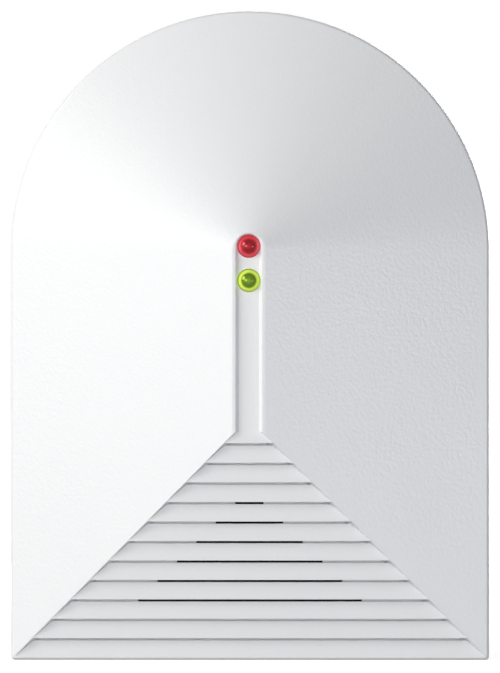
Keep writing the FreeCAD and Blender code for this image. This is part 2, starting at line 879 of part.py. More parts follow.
def terminal_way(number, x):
    """One way of the terminal block: its two cuts, its clamp and its slotted stud."""
    middle = size.terminal_centre
    chamber = size.terminal_pitch - size.terminal_wall
    floor = board_front + size.terminal_floor
    crown = floor + size.clamp_tall
    low = middle - chamber / 2
    tall = size.terminal_depth / 2 + chamber / 2 + OVERLAP
    above = size.terminal_tall - size.terminal_floor - size.clamp_tall
    driver = size.clamp_screw + 4 * size.clamp_gap
    cuts = [
        block(f"wire_way_{number}", x, low + tall / 2, chamber, tall, floor, size.clamp_tall),
        block(f"driver_way_{number}", x, middle, driver, driver, crown - OVERLAP, above + 2 * OVERLAP),
    ]
    width = chamber - 2 * size.clamp_gap
    frame = block(f"clamp_frame_{number}", x, middle, width, width, floor, size.clamp_tall - size.clamp_gap)
    window = block(
        f"clamp_window_{number}", x, middle, width - 2 * size.clamp_metal, width + OVERLAP,
        floor + size.clamp_metal, size.clamp_tall - size.clamp_gap - 3 * size.clamp_metal,
    )
    bore = size.clamp_screw + 2 * size.screw_gap
    eye = rod(f"clamp_eye_{number}", x, middle, bore, crown - 2 * OVERLAP, 3 * OVERLAP)
    clamp = cut(f"clamp_{number}", frame, fuse(f"clamp_cuts_{number}", [window, eye]))
    start = crown - size.clamp_screw_below
    long = size.clamp_screw_below + size.clamp_screw_above
    stud = rod(f"clamp_stud_{number}", x, middle, size.clamp_screw, start, long)
    slot_start = crown + size.clamp_screw_above - size.clamp_slot_depth
    slot = block(f"clamp_slot_{number}", x, middle, chamber, size.clamp_slot, slot_start, 2 * OVERLAP)
    return cuts, clamp, cut(f"clamp_screw_{number}", stud, slot)


def terminal_block():
    """Screw terminals along the board's upper edge, with the wires coming in from above."""
    ways = int(size.terminal_ways.value)
    wide = size.terminal_pitch * size.terminal_ways
    middle = size.terminal_centre
    deep, tall = size.terminal_depth, size.terminal_tall
    housing = block("terminal_housing", 0, middle, wide, deep, board_front, tall)
    cuts, clamps, screws, places = [], [], [], []
    for number in range(ways):
        x = size.terminal_pitch * (number - (size.terminal_ways - 1) / 2)
        way_cuts, clamp, screw = terminal_way(number, x)
        cuts += way_cuts
        clamps.append(clamp)
        screws.append(screw)
        places.append((x, middle))
    finish(cut("terminal_block_solid", housing, fuse("terminal_cuts", cuts)), "terminal_block")
    finish(group("terminal_clamp_set", clamps), "terminal_clamps")
    finish(group("terminal_screw_set", screws), "terminal_screws")
    pin_group("terminal_pins", places, size.terminal_pin)


def tamper_tip():
    """How deep the pressed plunger's tip stands."""
    return board_front + size.tamper_body + size.tamper_stand


def tamper_switch():
    """A push switch that the closed cover holds pressed, with its plunger free to go in a little more."""
    x, z = size.tamper_across, bottom + size.tamper_height
    floor = board_front + size.tamper_floor
    lid = board_front + size.tamper_body - size.tamper_lid
    square = size.tamper_square
    housing = block("tamper_case", x, z, square, square, board_front, size.tamper_body)
    cuts = [
        rod(
            "tamper_stem_hole", x, z, size.tamper_stem + 2 * size.tamper_gap,
            lid - OVERLAP, size.tamper_lid + 2 * OVERLAP,
        ),
        rod("tamper_chamber", x, z, size.tamper_collar + 4 * size.tamper_gap, floor, lid - floor),
    ]
    finish(cut("tamper_solid", housing, fuse("tamper_cuts", cuts)), "tamper_switch")
    start = floor + size.tamper_travel + size.tamper_gap
    stem = rod("plunger_stem", x, z, size.tamper_stem, start, tamper_tip() - start)
    collar = rod("plunger_collar", x, z, size.tamper_collar, start, size.tamper_collar_height)
    finish(fuse("plunger_solid", [stem, collar]), "tamper_plunger")
    inset = size.tamper_square / 2 - size.pin_width
    places = [(x + across, z + up) for across in (-inset, inset) for up in (-inset, inset)]
    pin_group("tamper_pins", places, size.pin_width)


def tamper_post():
    """The peg inside the cover that presses the plunger; it grows out of the sloping wall."""
    x = size.tamper_across
    roof = size.body_depth - size.roof_wall - slope * (x - land_half)
    start = tamper_tip() + size.tamper_gap
    length = roof + size.roof_wall / 2 - start
    return rod("tamper_post", x, bottom + size.tamper_height, size.tamper_post, start, length)


def relay():
    """The small sealed relay that signals the alarm."""
    x, z = -size.relay_across, size.relay_centre
    base = board_front + size.relay_foot
    thick = size.relay_tall - size.relay_foot
    case = block("relay_case", x, z, size.relay_width, size.relay_length, base, thick)
    spread = size.relay_foot_spacing / 2
    long = size.relay_length - 2 * size.relay_foot_inset
    feet = [
        block(f"relay_foot_{n}", x + across, z, size.relay_foot_width, long, board_front, size.relay_foot)
        for n, across in enumerate((-spread, spread))
    ]
    finish(fuse("relay_solid", [case] + feet), "alarm_relay")
    side, step = 1.5 * size.lead_pitch, 2 * size.lead_pitch
    places = [(x + across, z + up) for across in (-side, side) for up in (-step, 0, step)]
    pin_group("relay_pins", places, size.pin_width, size.relay_foot)


def chip(label, x, z, across, along, tall, leads_each_side, upright):
    """A flat chip with bent leads along two sides; upright turns its long side up the board."""
    wide, high = (across, along) if upright else (along, across)
    finish(block(f"{label}_case", x, z, wide, high, board_front + size.chip_lift, tall), label)
    middle = (size.chip_lift + tall / 2).value
    metal, width = size.chip_lead_metal.value, size.chip_lead.value
    reach, side = size.chip_reach.value, across.value / 2
    knee = reach / 2
    profile = [
        (0, middle + metal / 2),
        (knee - metal, middle + metal / 2),
        (knee + metal / 2, metal),
        (reach, metal),
        (reach, 0),
        (knee - metal / 2, 0),
        (knee - 2 * metal, middle - metal / 2),
        (0, middle - metal / 2),
    ]
    bars = []
    count = int(leads_each_side.value)
    for way in (-1, 1):
        for number in range(count):
            shift = size.chip_pitch.value * (number - (count - 1) / 2) - width / 2
            corners = [FreeCAD.Vector(way * (side + out), -up, shift) for out, up in profile]
            face = Part.Face(Part.makePolygon(corners + corners[:1]))
            bars.append(face.extrude(FreeCAD.Vector(0, 0, width)))
    feature = doc.addObject("Part::Feature", f"{label}_lead_set")
    feature.Shape = Part.makeCompound(bars)
    turn = FreeCAD.Rotation() if upright else FreeCAD.Rotation(FreeCAD.Vector(0, 1, 0), 90)
    stand(feature, x, -board_front, z, turn)
    return finish(feature, f"{label}_leads")


def reservoir(x, z):
    """The large upright capacitor: a can with a rolled neck near its foot."""
    wide = size.reservoir_diameter
    whole = rod("reservoir_can", x, z, wide, board_front, size.reservoir_height)
    level = board_front + size.neck_above_board
    ring = rod("neck_ring", x, z, wide + OVERLAP, level, size.neck_height)
    narrow = wide - 2 * size.neck_depth
    core = rod("neck_core", x, z, narrow, level - OVERLAP, size.neck_height + 2 * OVERLAP)
    finish(cut("reservoir_solid", whole, cut("neck", ring, core)), "reservoir_capacitor")


def capacitors():
    """One large can for the supply and two small ones for the filters."""
    x, z = size.reservoir_across, size.reservoir_centre
    reservoir(x, z)
    spread = size.reservoir_lead_pitch / 2
    places = [(x - spread, z), (x + spread, z)]
    x, z = size.filter_across, size.filter_centre
    filters = []
    for number, up in enumerate((z, z - size.filter_spacing)):
        can = rod(f"filter_{number}", x, up, size.filter_diameter, board_front, size.filter_height)
        filters.append(can)
        spread = size.filter_lead_pitch / 2
        places += [(x - spread, up), (x + spread, up)]
    finish(group("filter_set", filters), "filter_capacitors")
    pin_group("capacitor_leads", places, size.lead_width)


def crystal():
    """The resonator in its long can with round ends, beside a locating pin."""
    x = -(size.post_spread / 2 - size.screw_head / 2 - size.crystal_length / 2)
    z = bottom + size.crystal_height
    reach = (size.crystal_length - size.crystal_width) / 2
    thick = size.crystal_thickness
    middle = block("crystal_middle", x, z, 2 * reach, size.crystal_width, board_front, thick)
    ends = [
        rod(f"crystal_end_{n}", x + across, z, size.crystal_width, board_front, thick)
        for n, across in enumerate((-reach, reach))
    ]
    finish(fuse("crystal_solid", ends + [middle]), "crystal")
    spread = size.crystal_lead_pitch / 2
    pin_group("crystal_leads", [(x - spread, z), (x + spread, z)], size.lead_width)


def jumpers():
    """Three pairs of setting pins beside a board screw, two of them bridged by caps."""
    pitch = size.header_pitch
    x = size.post_spread / 2 - size.screw_head / 2 - size.board_gap - 1.5 * pitch
    z = bottom + size.jumper_centre
    columns = [x + pitch * step for step in (-1, 0, 1)]
    rows = [z - pitch / 2, z + pitch / 2]
    places = [(column, row) for column in columns for row in rows]
    strip = block("header_strip", x, z, 3 * pitch, 2 * pitch, board_front, size.header_height)
    snug = size.header_pin + size.header_gap
    deep = size.header_height + 2 * OVERLAP
    start = board_front - OVERLAP
    ways = [block(f"header_way_{n}", a, b, snug, snug, start, deep) for n, (a, b) in enumerate(places)]
    finish(cut("header_solid", strip, fuse("header_ways", ways)), "jumper_base")
    pin_group("jumper_pins", places, size.header_pin, size.header_pin_height)
    caps = []
    top = board_front + size.header_height
    loose = size.header_pin + 2 * size.header_gap
    tall = size.jumper_height
    for number, column in enumerate((columns[0], columns[2])):
        shell = block(f"cap_shell_{number}", column, z, size.jumper_width, 2 * pitch, top, tall)
        inside = size.header_pin_height - size.header_height + size.header_gap
        sockets = [
            block(f"cap_socket_{number}_{n}", column, row, loose, loose, top - OVERLAP, inside + OVERLAP)
            for n, row in enumerate(rows)
        ]
        caps.append(cut(f"cap_{number}", shell, fuse(f"cap_sockets_{number}", sockets)))
    finish(group("cap_set", caps), "jumper_caps")


def chip_resistors():
    """The small soldered chips, in short rows beside the parts that they serve."""
    across, down = size.resistor_row_spacing, size.resistor_column_spacing
    left, top = -size.upper_rows_side, -size.upper_rows_top
    places = [(left + across * a, top - down * b) for a in range(4) for b in range(2)]
    places += [(left + across * a, bottom + size.lower_row_height) for a in range(4)]
    edge, edge_top = -size.edge_column_side, bottom + size.edge_column_height
    places += [(edge, edge_top - down * b) for b in range(4)]
    wide, tall, thick = size.resistor_width, size.resistor_length, size.resistor_height
    chips = [
        block(f"small_chip_{n}", x, z, wide, tall, board_front, thick)
        for n, (x, z) in enumerate(places)
    ]
    finish(group("small_chips", chips), "chip_resistors")


def circuit_board():
    """The board, made last because every pin leaves it a hole."""
    body = new_body("board_body")
    foot = bottom + size.board_foot
    thick = size.board_thickness
    outline = arch_sketch(body, "board_outline", size.board_width / 2, foot, board_back)
    pad(body, "board_pad", outline, thick)
    side, top = size.board_width, size.board_top
    above = [(-side, top), (side, top), (side, top + side), (-side, top + side)]
    pocket(body, "board_trim", polygon_sketch(body, "trim_outline", FRONT, above, board_front), thick)
    places = screw_places() + pin_places()
    holes = circle_sketch(body, "post_holes", places, size.board_hole / 2, board_front)
    pocket(body, "post_hole_cut", holes, thick)
    ways = []
    for number, (x, z, width) in enumerate(board_holes):
        room = width + 2 * size.pin_gap
        start = board_back - OVERLAP
        ways.append(block(f"pin_way_{number}", x, z, room, room, start, thick + 2 * OVERLAP))
    return finish(cut("board_solid", body, fuse("pin_ways", ways)), "circuit_board")


def board_screws():
    """Pan-head screws with a cross recess."""
    screws = []
    wide, narrow = size.screw_head / 2, size.screw_recess_width
    recess = board_front + size.screw_head_height - size.screw_recess
    for number, (x, z) in enumerate(screw_places()):
        start = board_front - size.screw_length
        shank = rod(f"screw_shank_{number}", x, z, size.screw_diameter, start, size.screw_length)
        head = rod(f"screw_head_{number}", x, z, size.screw_head, board_front, size.screw_head_height)
        cross = fuse(f"screw_cross_{number}", [
            block(f"screw_cross_wide_{number}", x, z, wide, narrow, recess, 2 * OVERLAP),
            block(f"screw_cross_tall_{number}", x, z, narrow, wide, recess, 2 * OVERLAP),
        ])
        screws.append(cut(f"screw_{number}", fuse(f"screw_body_{number}", [shank, head]), cross))
    finish(group("screw_set", screws), "board_screws")


def main():
    front_cover()
    rear_base()
    led("red", red_centre)
    led("green", green_centre)
    microphone()
    dust_screen()
    terminal_block()
    tamper_switch()
    relay()
    controller = (size.controller_width, size.controller_length, size.controller_thickness)
    up = bottom + size.controller_height
    chip("microcontroller", -size.controller_across, up, *controller, size.controller_leads, True)
    amplifier = (size.amplifier_width, size.amplifier_length, size.amplifier_thickness)
    across, up = size.amplifier_across, size.amplifier_centre
    chip("amplifier", across, up, *amplifier, size.amplifier_leads, False)
    capacitors()
    crystal()
    jumpers()
    chip_resistors()
    circuit_board()
    board_screws()
    doc.recompute()
    check_and_write()


def check_and_write():
    """Stops on any failed object or bad shape, then writes one file for each piece."""
    for thing in doc.Objects:
        if "Invalid" in thing.State or "Error" in thing.State:
            raise ValueError(f"{thing.Label} failed: {thing.State}")
    for label, piece in finished.items():
        shape = piece.Shape
        if shape.isNull() or not shape.isValid() or not shape.Solids:
            raise ValueError(f"{label} has a bad shape")
    os.makedirs("parts", exist_ok=True)
    for label, piece in finished.items():
        piece.Shape.exportStep(f"parts/{label}.step")
        print(label, len(piece.Shape.Solids), "solids", round(piece.Shape.Volume, 1), "mm3")


main()
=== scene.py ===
# %% [markdown]
# This lesson dresses a glass break sensor: a small white box on a wall that listens for breaking glass.
# Its size and its working parts come from a finished frame, which stays as it is. The script gives every
# part a surface, and remakes the few parts that a camera sees close up, because there the light shows each
# edge. A part is remade exactly where it was, so all lengths start from the frame's own boxes.

# %% Load the frame
import bmesh
import bpy
import json
import math
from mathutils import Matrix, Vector


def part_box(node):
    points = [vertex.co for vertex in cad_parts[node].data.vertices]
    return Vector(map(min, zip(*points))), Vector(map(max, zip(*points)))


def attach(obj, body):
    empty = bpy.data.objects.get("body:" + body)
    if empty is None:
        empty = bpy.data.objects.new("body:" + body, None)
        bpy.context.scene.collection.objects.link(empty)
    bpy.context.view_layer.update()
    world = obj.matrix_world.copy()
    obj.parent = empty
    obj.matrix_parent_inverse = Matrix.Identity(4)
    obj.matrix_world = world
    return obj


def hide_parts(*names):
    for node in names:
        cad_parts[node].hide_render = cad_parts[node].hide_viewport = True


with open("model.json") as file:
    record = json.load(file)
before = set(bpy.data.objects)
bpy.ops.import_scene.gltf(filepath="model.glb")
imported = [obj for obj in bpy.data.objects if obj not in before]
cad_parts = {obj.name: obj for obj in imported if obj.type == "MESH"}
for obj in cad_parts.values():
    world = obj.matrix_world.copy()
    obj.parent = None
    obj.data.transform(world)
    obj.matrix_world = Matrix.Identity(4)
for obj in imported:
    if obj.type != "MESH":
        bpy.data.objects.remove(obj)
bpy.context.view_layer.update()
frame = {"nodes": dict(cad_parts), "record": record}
record = frame["record"]
mm = 0.001

# %% [markdown]
# The housing's own box tells its width, height and depth. The smaller sizes are those of the moulding:
# wall thickness, the pitch of the louvres, the channel in the ridge. They are written once, here, in
# metres. A depth is how far something stands off the wall, so a point at a depth has a negative Y.

# %% The housing's sizes
cover_low, cover_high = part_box("front_cover")
HALF_WIDTH = cover_high.x
BOTTOM = cover_low.z
DEPTH = -cover_low.y
COVER_BACK = -cover_high.y
BASE_DEPTH = 5.0 * mm
RIM_DEPTH = 13.5 * mm
DRAFT = 0.1 * mm
RIM_HALF = HALF_WIDTH - DRAFT
LAND_HALF = 2.3 * mm
HIP_RUN = 31.3 * mm
SLOPE = (DEPTH - RIM_DEPTH) / (RIM_HALF - LAND_HALF)
HIP_SLOPE = (DEPTH - RIM_DEPTH) / HIP_RUN
COVER_WALL = 2.0 * mm
ROOF_WALL = 2.1 * mm
LOUVRE_WALL = 3.1 * mm
BEYOND = 3.0 * mm
print("width", round(2 * HALF_WIDTH / mm, 2), "depth", round(DEPTH / mm, 2), "pitch", round(SLOPE, 3))

# %% [markdown]
# Node trees are written by hand in two places below: for materials and for repeated shapes. Both use the
# same small pair of classes. A Wire is one output of a node, and Python's own operators on it add Math
# nodes, so a formula stays readable. A Board adds any other node by its type, its settings and its inputs.

# %% Wires and boards
def place(owner, name, value):
    """Sets one property of a node, where a dotted name reaches into the thing that holds it."""
    *path, last = name.split(".")
    for step in path:
        owner = getattr(owner, step)
    setattr(owner, last, value)


def fill_ramp(ramp, stops):
    """Gives a colour ramp its stops, as pairs of a place and a colour."""
    while len(ramp.elements) < len(stops):
        ramp.elements.new(1.0)
    for element, (spot, colour) in zip(ramp.elements, stops):
        element.position = spot
        element.color = colour


class Wire:
    """One output socket; arithmetic on it adds Math nodes."""

    def __init__(self, board, socket):
        self.board = board
        self.socket = socket

    def math(self, operation, *values):
        inputs = dict(enumerate(values))
        return self.board.node("ShaderNodeMath", {"operation": operation}, inputs).wire()

    def __add__(self, other):
        return self.math("ADD", self, other)

    def __radd__(self, other):
        return self.math("ADD", other, self)

    def __sub__(self, other):
        return self.math("SUBTRACT", self, other)

    def __rsub__(self, other):
        return self.math("SUBTRACT", other, self)

    def __mul__(self, other):
        return self.math("MULTIPLY", self, other)

    def __rmul__(self, other):
        return self.math("MULTIPLY", other, self)

    def __truediv__(self, other):
        return self.math("DIVIDE", self, other)

    def __pow__(self, other):
        return self.math("POWER", self, other)

    def between(self, low, high):
        """0 below low, 1 above high and a smooth rise from one to the other."""
        inputs = {0: self, 1: low, 2: high, 3: 0.0, 4: 1.0}
        return self.board.node("ShaderNodeMapRange", {"interpolation_type": "SMOOTHSTEP"}, inputs).wire()


class Made:
    """A node that a board has made."""

    def __init__(self, board, node):
        self.board = board
        self.node = node

    def wire(self, name=0):
        return Wire(self.board, self.node.outputs[name])


class Board:
    """A node tree, and the one method that adds nodes to it."""

    def __init__(self, tree):
        self.tree = tree

    def node(self, kind, settings=None, inputs=None):
        made = self.tree.nodes.new(kind)
        for name, value in (settings or {}).items():
            if name == "stops":
                fill_ramp(made.color_ramp, value)
            else:
                place(made, name, value)
        for name, value in (inputs or {}).items():
            if isinstance(value, Wire):
                self.tree.links.new(value.socket, made.inputs[name])
            else:
                made.inputs[name].default_value = value
        return Made(self, made)


# %% [markdown]
# Most parts of the cover are one outline, drawn again and again at another size and depth: the arch of the
# rim, the smaller arches up the roof, the hollow inside. So the shell is a stack of rings. A ring is the
# outline drawn in by one inset at its sides and top and by another at its foot. Rings that shrink as they
# come forward make the round top, the two long facets and the sloping lower face all at once, and their
# corners run up the hips by themselves.

# %% Rings of the outline
ARC_STEPS = 120
CORNER_STEPS = 5
NEAR_SPRING = 0.6 * mm


def outline_ring(inset, foot_inset, depth, corner):
    """The housing's outline drawn in by insets, at a depth, with small round lower corners."""
    side = HALF_WIDTH - inset
    foot = BOTTOM + foot_inset
    flat = [(side * math.cos(turn), side * math.sin(turn)) for turn in
            (math.pi * step / ARC_STEPS for step in range(ARC_STEPS + 1))]
    flat.append((-side, -NEAR_SPRING))
    for centre, start in ((corner - side, math.pi), (side - corner, 1.5 * math.pi)):
        for step in range(CORNER_STEPS + 1):
            turn = start + step * math.pi / 2 / CORNER_STEPS
            flat.append((centre + corner * math.cos(turn), foot + corner + corner * math.sin(turn)))
    flat.append((side, -NEAR_SPRING))
    return [Vector((x, -depth, z)) for x, z in flat]


def rounded(start, corner, end, radius, steps):
    """The corner of a section, in inset and depth, as points on an arc that touches both of its sides."""
    start, corner, end = Vector(start), Vector(corner), Vector(end)
    back, ahead = (start - corner).normalized(), (end - corner).normalized()
    half = back.angle(ahead) / 2
    centre = corner + (back + ahead).normalized() * radius / math.sin(half)
    first = corner + back * radius / math.tan(half) - centre
    last = corner + ahead * radius / math.tan(half) - centre
    sweep = math.atan2(first.x * last.y - first.y * last.x, first.dot(last))
    points = []
    for step in range(steps + 1):
        turn = sweep * step / steps
        points.append(centre + Vector((
            first.x * math.cos(turn) - first.y * math.sin(turn),
            first.x * math.sin(turn) + first.y * math.cos(turn),
        )))
    return points


def new_object(name, data):
    """A new object in the scene that holds a mesh, a lamp or a camera."""
    made = bpy.data.objects.new(name, data)
    bpy.context.scene.collection.objects.link(made)
    return made


def from_bmesh(name, shape):
    """Turns a finished bmesh into an object, with its faces looking outwards."""
    bmesh.ops.recalc_face_normals(shape, faces=shape.faces)
    mesh = bpy.data.meshes.new(name)
    shape.to_mesh(mesh)
    shape.free()
    return new_object(name, mesh)


def stack_of_rings(name, rings):
    """Joins rings of equal length into a skin and closes both ends."""
    shape = bmesh.new()
    rows = [[shape.verts.new(point) for point in ring] for ring in rings]
    for lower, upper in zip(rows, rows[1:]):
        for here in range(len(lower)):
            there = (here + 1) % len(lower)
            shape.faces.new((lower[here], lower[there], upper[there], upper[here]))
    shape.faces.new(rows[0])
    shape.faces.new(rows[-1])
    return from_bmesh(name, shape)


# %% [markdown]
# The shell's section runs up the outside, over the rim, up the roof and onto the narrow ridge, and then
# back down the inside to the step that slips over the base. Each point is an inset and a depth. The rim and
# the ridge get real roundings, because a moulded edge is never sharp and the light draws a line on it.

# %% The cover's shell
RIM_RADIUS = 0.62 * mm
RIDGE_RADIUS = 1.0 * mm
OUTER_CORNER = 0.5 * mm
HIP_CORNER = 0.12 * mm
REBATE_INSET = 0.9 * mm
REBATE_DEPTH = 6.6 * mm
FOOT_RADIUS = 0.18 * mm
HIP_BLEND = 0.5 * mm


def outer_ring(inset, depth):
    """A ring of the outside: only its sides have a draft, and its corners grow sharp along the hips."""
    along_side = min(1.0, max(0.0, (depth - COVER_BACK) / (RIM_DEPTH - COVER_BACK)))
    foot_inset = (inset - DRAFT * along_side) * SLOPE / HIP_SLOPE
    up_roof = min(1.0, max(0.0, (depth - RIM_DEPTH) / HIP_BLEND))
    corner = OUTER_CORNER + (HIP_CORNER - OUTER_CORNER) * up_roof
    return outline_ring(inset, foot_inset, depth, corner)


def inner_foot(depth):
    """How far the inside of the louvred wall has come in at a depth."""
    return max(COVER_WALL, (depth - (RIM_DEPTH - LOUVRE_WALL)) / HIP_SLOPE)


def shell_rings():
    """Every ring of the cover, from the ridge down the outside and back up the inside."""
    ridge_inset = HALF_WIDTH - LAND_HALF
    foot, rim, ridge = (0.0, COVER_BACK), (DRAFT, RIM_DEPTH), (ridge_inset, DEPTH)
    over_ridge = (HALF_WIDTH, DEPTH)
    under_foot = (REBATE_INSET, COVER_BACK)
    outside = rounded(over_ridge, ridge, rim, RIDGE_RADIUS, steps=6)
    outside += rounded(ridge, rim, foot, RIM_RADIUS, steps=8)
    outside += rounded(rim, foot, under_foot, FOOT_RADIUS, steps=4)
    rings = [outer_ring(inset, depth) for inset, depth in outside]
    for depth in (COVER_BACK, REBATE_DEPTH):
        rings.append(outline_ring(REBATE_INSET, REBATE_INSET, depth, HIP_CORNER))
    inner_rim = DRAFT + COVER_WALL
    inner_rim_depth = RIM_DEPTH + SLOPE * COVER_WALL - ROOF_WALL
    hip_start = RIM_DEPTH - LOUVRE_WALL + HIP_SLOPE * COVER_WALL
    inside = [
        (COVER_WALL, REBATE_DEPTH),
        (inner_rim, hip_start),
        (inner_rim, inner_rim_depth),
        (ridge_inset, DEPTH - ROOF_WALL),
    ]
    rings += [outline_ring(inset, inner_foot(depth), depth, HIP_CORNER) for inset, depth in inside]
    return rings


cover = stack_of_rings("cover_shell", shell_rings())
print("shell", len(cover.data.polygons), "faces")

# %% [markdown]
# Everything else on the cover is cut away or added with exact booleans, as a toolmaker would cut a mould.
# The cutters that repeat come from Geometry Nodes: one louvre step that climbs the slope, the slits that
# grow wider downwards, and round bars that stand on marked points. Each tree has its sizes as named inputs.

# %% Geometry Nodes for what repeats
def node_group(name, inputs):
    """An empty geometry tree with a mesh going in, named sizes and a mesh coming out."""
    tree = bpy.data.node_groups.new(name, "GeometryNodeTree")
    tree.interface.new_socket("Geometry", in_out="INPUT", socket_type="NodeSocketGeometry")
    for label, kind in inputs.items():
        tree.interface.new_socket(label, in_out="INPUT", socket_type=kind)
    tree.interface.new_socket("Geometry", in_out="OUTPUT", socket_type="NodeSocketGeometry")
    board = Board(tree)
    return board, board.node("NodeGroupInput")


def close_group(board, instances, given):
    """Ends a tree: the instances become real faces and take the material."""
    real = board.node("GeometryNodeRealizeInstances", inputs={"Geometry": instances}).wire()
    inputs = {"Geometry": real, "Material": given.wire("Material")}
    dressed = board.node("GeometryNodeSetMaterial", inputs=inputs).wire()
    board.node("NodeGroupOutput", inputs={"Geometry": dressed})
    return board.tree


def climbing_steps():
    """Repeats the object's own mesh along a straight line."""
    sizes = {"Count": "NodeSocketInt", "Climb": "NodeSocketVector", "Material": "NodeSocketMaterial"}
    board, given = node_group("climbing_steps", sizes)
    line = board.node("GeometryNodeMeshLine", {"mode": "OFFSET"}, {
        "Count": given.wire("Count"), "Offset": given.wire("Climb"),
    })
    copies = board.node("GeometryNodeInstanceOnPoints", inputs={
        "Points": line.wire(), "Instance": given.wire("Geometry"),
    })
    return close_group(board, copies.wire(), given)


def widening_slits():
    """Flat bars on a climbing line, each one narrower than the one below it."""
    sizes = {
        "Count": "NodeSocketInt", "Lowest": "NodeSocketVector", "Climb": "NodeSocketVector",
        "Top Width": "NodeSocketFloat", "Narrowing": "NodeSocketFloat", "Through": "NodeSocketFloat",
        "Height": "NodeSocketFloat", "Material": "NodeSocketMaterial",
    }
    board, given = node_group("widening_slits", sizes)
    line = board.node("GeometryNodeMeshLine", {"mode": "OFFSET"}, {
        "Count": given.wire("Count"), "Start Location": given.wire("Lowest"), "Offset": given.wire("Climb"),
    })
    index = board.node("GeometryNodeInputIndex").wire()
    steps_down = given.wire("Count") - 1 - index
    width = given.wire("Top Width") + given.wire("Narrowing") * steps_down
    scale = board.node("ShaderNodeCombineXYZ", inputs={
        "X": width, "Y": given.wire("Through"), "Z": given.wire("Height"),
    })
    bar = board.node("GeometryNodeMeshCube", inputs={"Size": (1.0, 1.0, 1.0)})
    copies = board.node("GeometryNodeInstanceOnPoints", inputs={
        "Points": line.wire(), "Instance": bar.wire(), "Scale": scale.wire(),
    })
    return close_group(board, copies.wire(), given)


def bars_on_points():
    """A round bar on every point of the object's own mesh, lying along Y."""
    sizes = {
        "Radius": "NodeSocketFloat", "Length": "NodeSocketFloat", "Sides": "NodeSocketInt",
        "Material": "NodeSocketMaterial",
    }
    board, given = node_group("bars_on_points", sizes)
    bar = board.node("GeometryNodeMeshCylinder", inputs={
        "Vertices": given.wire("Sides"), "Radius": given.wire("Radius"), "Depth": given.wire("Length"),
    })
    copies = board.node("GeometryNodeInstanceOnPoints", inputs={
        "Points": given.wire("Geometry"), "Instance": bar.wire("Mesh"), "Rotation": (math.pi / 2, 0.0, 0.0),
    })
    return close_group(board, copies.wire(), given)


STEPS_TREE = climbing_steps()
SLITS_TREE = widening_slits()
BARS_TREE = bars_on_points()
print("trees", [tree.name for tree in (STEPS_TREE, SLITS_TREE, BARS_TREE)])

# %% [markdown]
# A tree runs on a piece as a modifier, and so does a boolean. Either could stay live, but a plain mesh is
# easier to cut again, so each result takes the place of the piece's mesh at once. A cutter is thrown away
# after its cut.

# %% Growing, cutting and joining
PAST = 1.0 * mm
ROOTED = 0.5 * mm


def bake(piece):
    """Swaps a piece's mesh for what its modifiers make of it."""
    evaluated = piece.evaluated_get(bpy.context.evaluated_depsgraph_get())
    mesh = bpy.data.meshes.new_from_object(evaluated)
    piece.modifiers.clear()
    piece.data = mesh
    return piece


def grow(piece, tree, **values):
    """Runs a geometry tree on a piece and keeps the result as a plain mesh."""
    modifier = piece.modifiers.new(tree.name, "NODES")
    modifier.node_group = tree
    wanted = {name.replace("_", " ").title(): value for name, value in values.items()}
    for item in tree.interface.items_tree:
        if item.in_out == "INPUT" and item.name in wanted:
            modifier[item.identifier] = wanted.pop(item.name)
    if wanted:
        raise ValueError(f"{tree.name} has no input {sorted(wanted)}")
    return bake(piece)


def bars(name, places, depth, radius, length, sides=48):
    """Round bars at places in the front view, starting at a depth and reaching to the front."""
    points = [(x, -(depth + length / 2), z) for x, z in places]
    mesh = bpy.data.meshes.new(name)
    mesh.from_pydata(points, [], [])
    return grow(new_object(name, mesh), BARS_TREE, radius=radius, length=length, sides=sides)


def block(name, low, high):
    """A plain block between two corners."""
    low, high = Vector(low), Vector(high)
    shape = bmesh.new()
    bmesh.ops.create_cube(shape, size=1.0)
    for vertex in shape.verts:
        vertex.co = (low + high) / 2 + vertex.co * (high - low)
    return from_bmesh(name, shape)


def carve(piece, tools, operation="DIFFERENCE"):
    """Cuts a piece with tools, or joins them to it, and throws the tools away."""
    for tool in tools:
        modifier = piece.modifiers.new(tool.name, "BOOLEAN")
        modifier.operation = operation
        modifier.solver = "EXACT"
        modifier.use_self = True
        modifier.object = tool
    bake(piece)
    for tool in tools:
        bpy.data.objects.remove(tool)
    return piece


# %% [markdown]
# A louvre step is a flat land that looks straight ahead, with a narrow groove under it. Seen from the side
# it is one small outline, pulled out along X. Its lip is rounded, and eleven of them climb the lower face.
# The room they may take ends at two walls that start on the hips and lean inwards a little, so the stack
# of steps is trimmed to that room before it cuts the shell.

# %% The louvred face
LOUVRE_FOOT = 0.32 * mm
LOUVRE_PITCH = 2.71 * mm
LOUVRE_COUNT = 11
GROOVE_HEIGHT = 0.32 * mm
GROOVE_DEPTH = 0.9 * mm
LIP_RADIUS = 0.06 * mm
FLANK_LEAN = 0.36
SLIT_FIRST = 3
SLIT_COUNT = 6
SLIT_TOP_WIDTH = 3.9 * mm


def pulled_along_x(name, outline, reach):
    """An outline in depth and height, made solid from one side to the other."""
    ends = [[(x, -depth, z) for depth, z in outline] for x in (-reach, reach)]
    return stack_of_rings(name, ends)


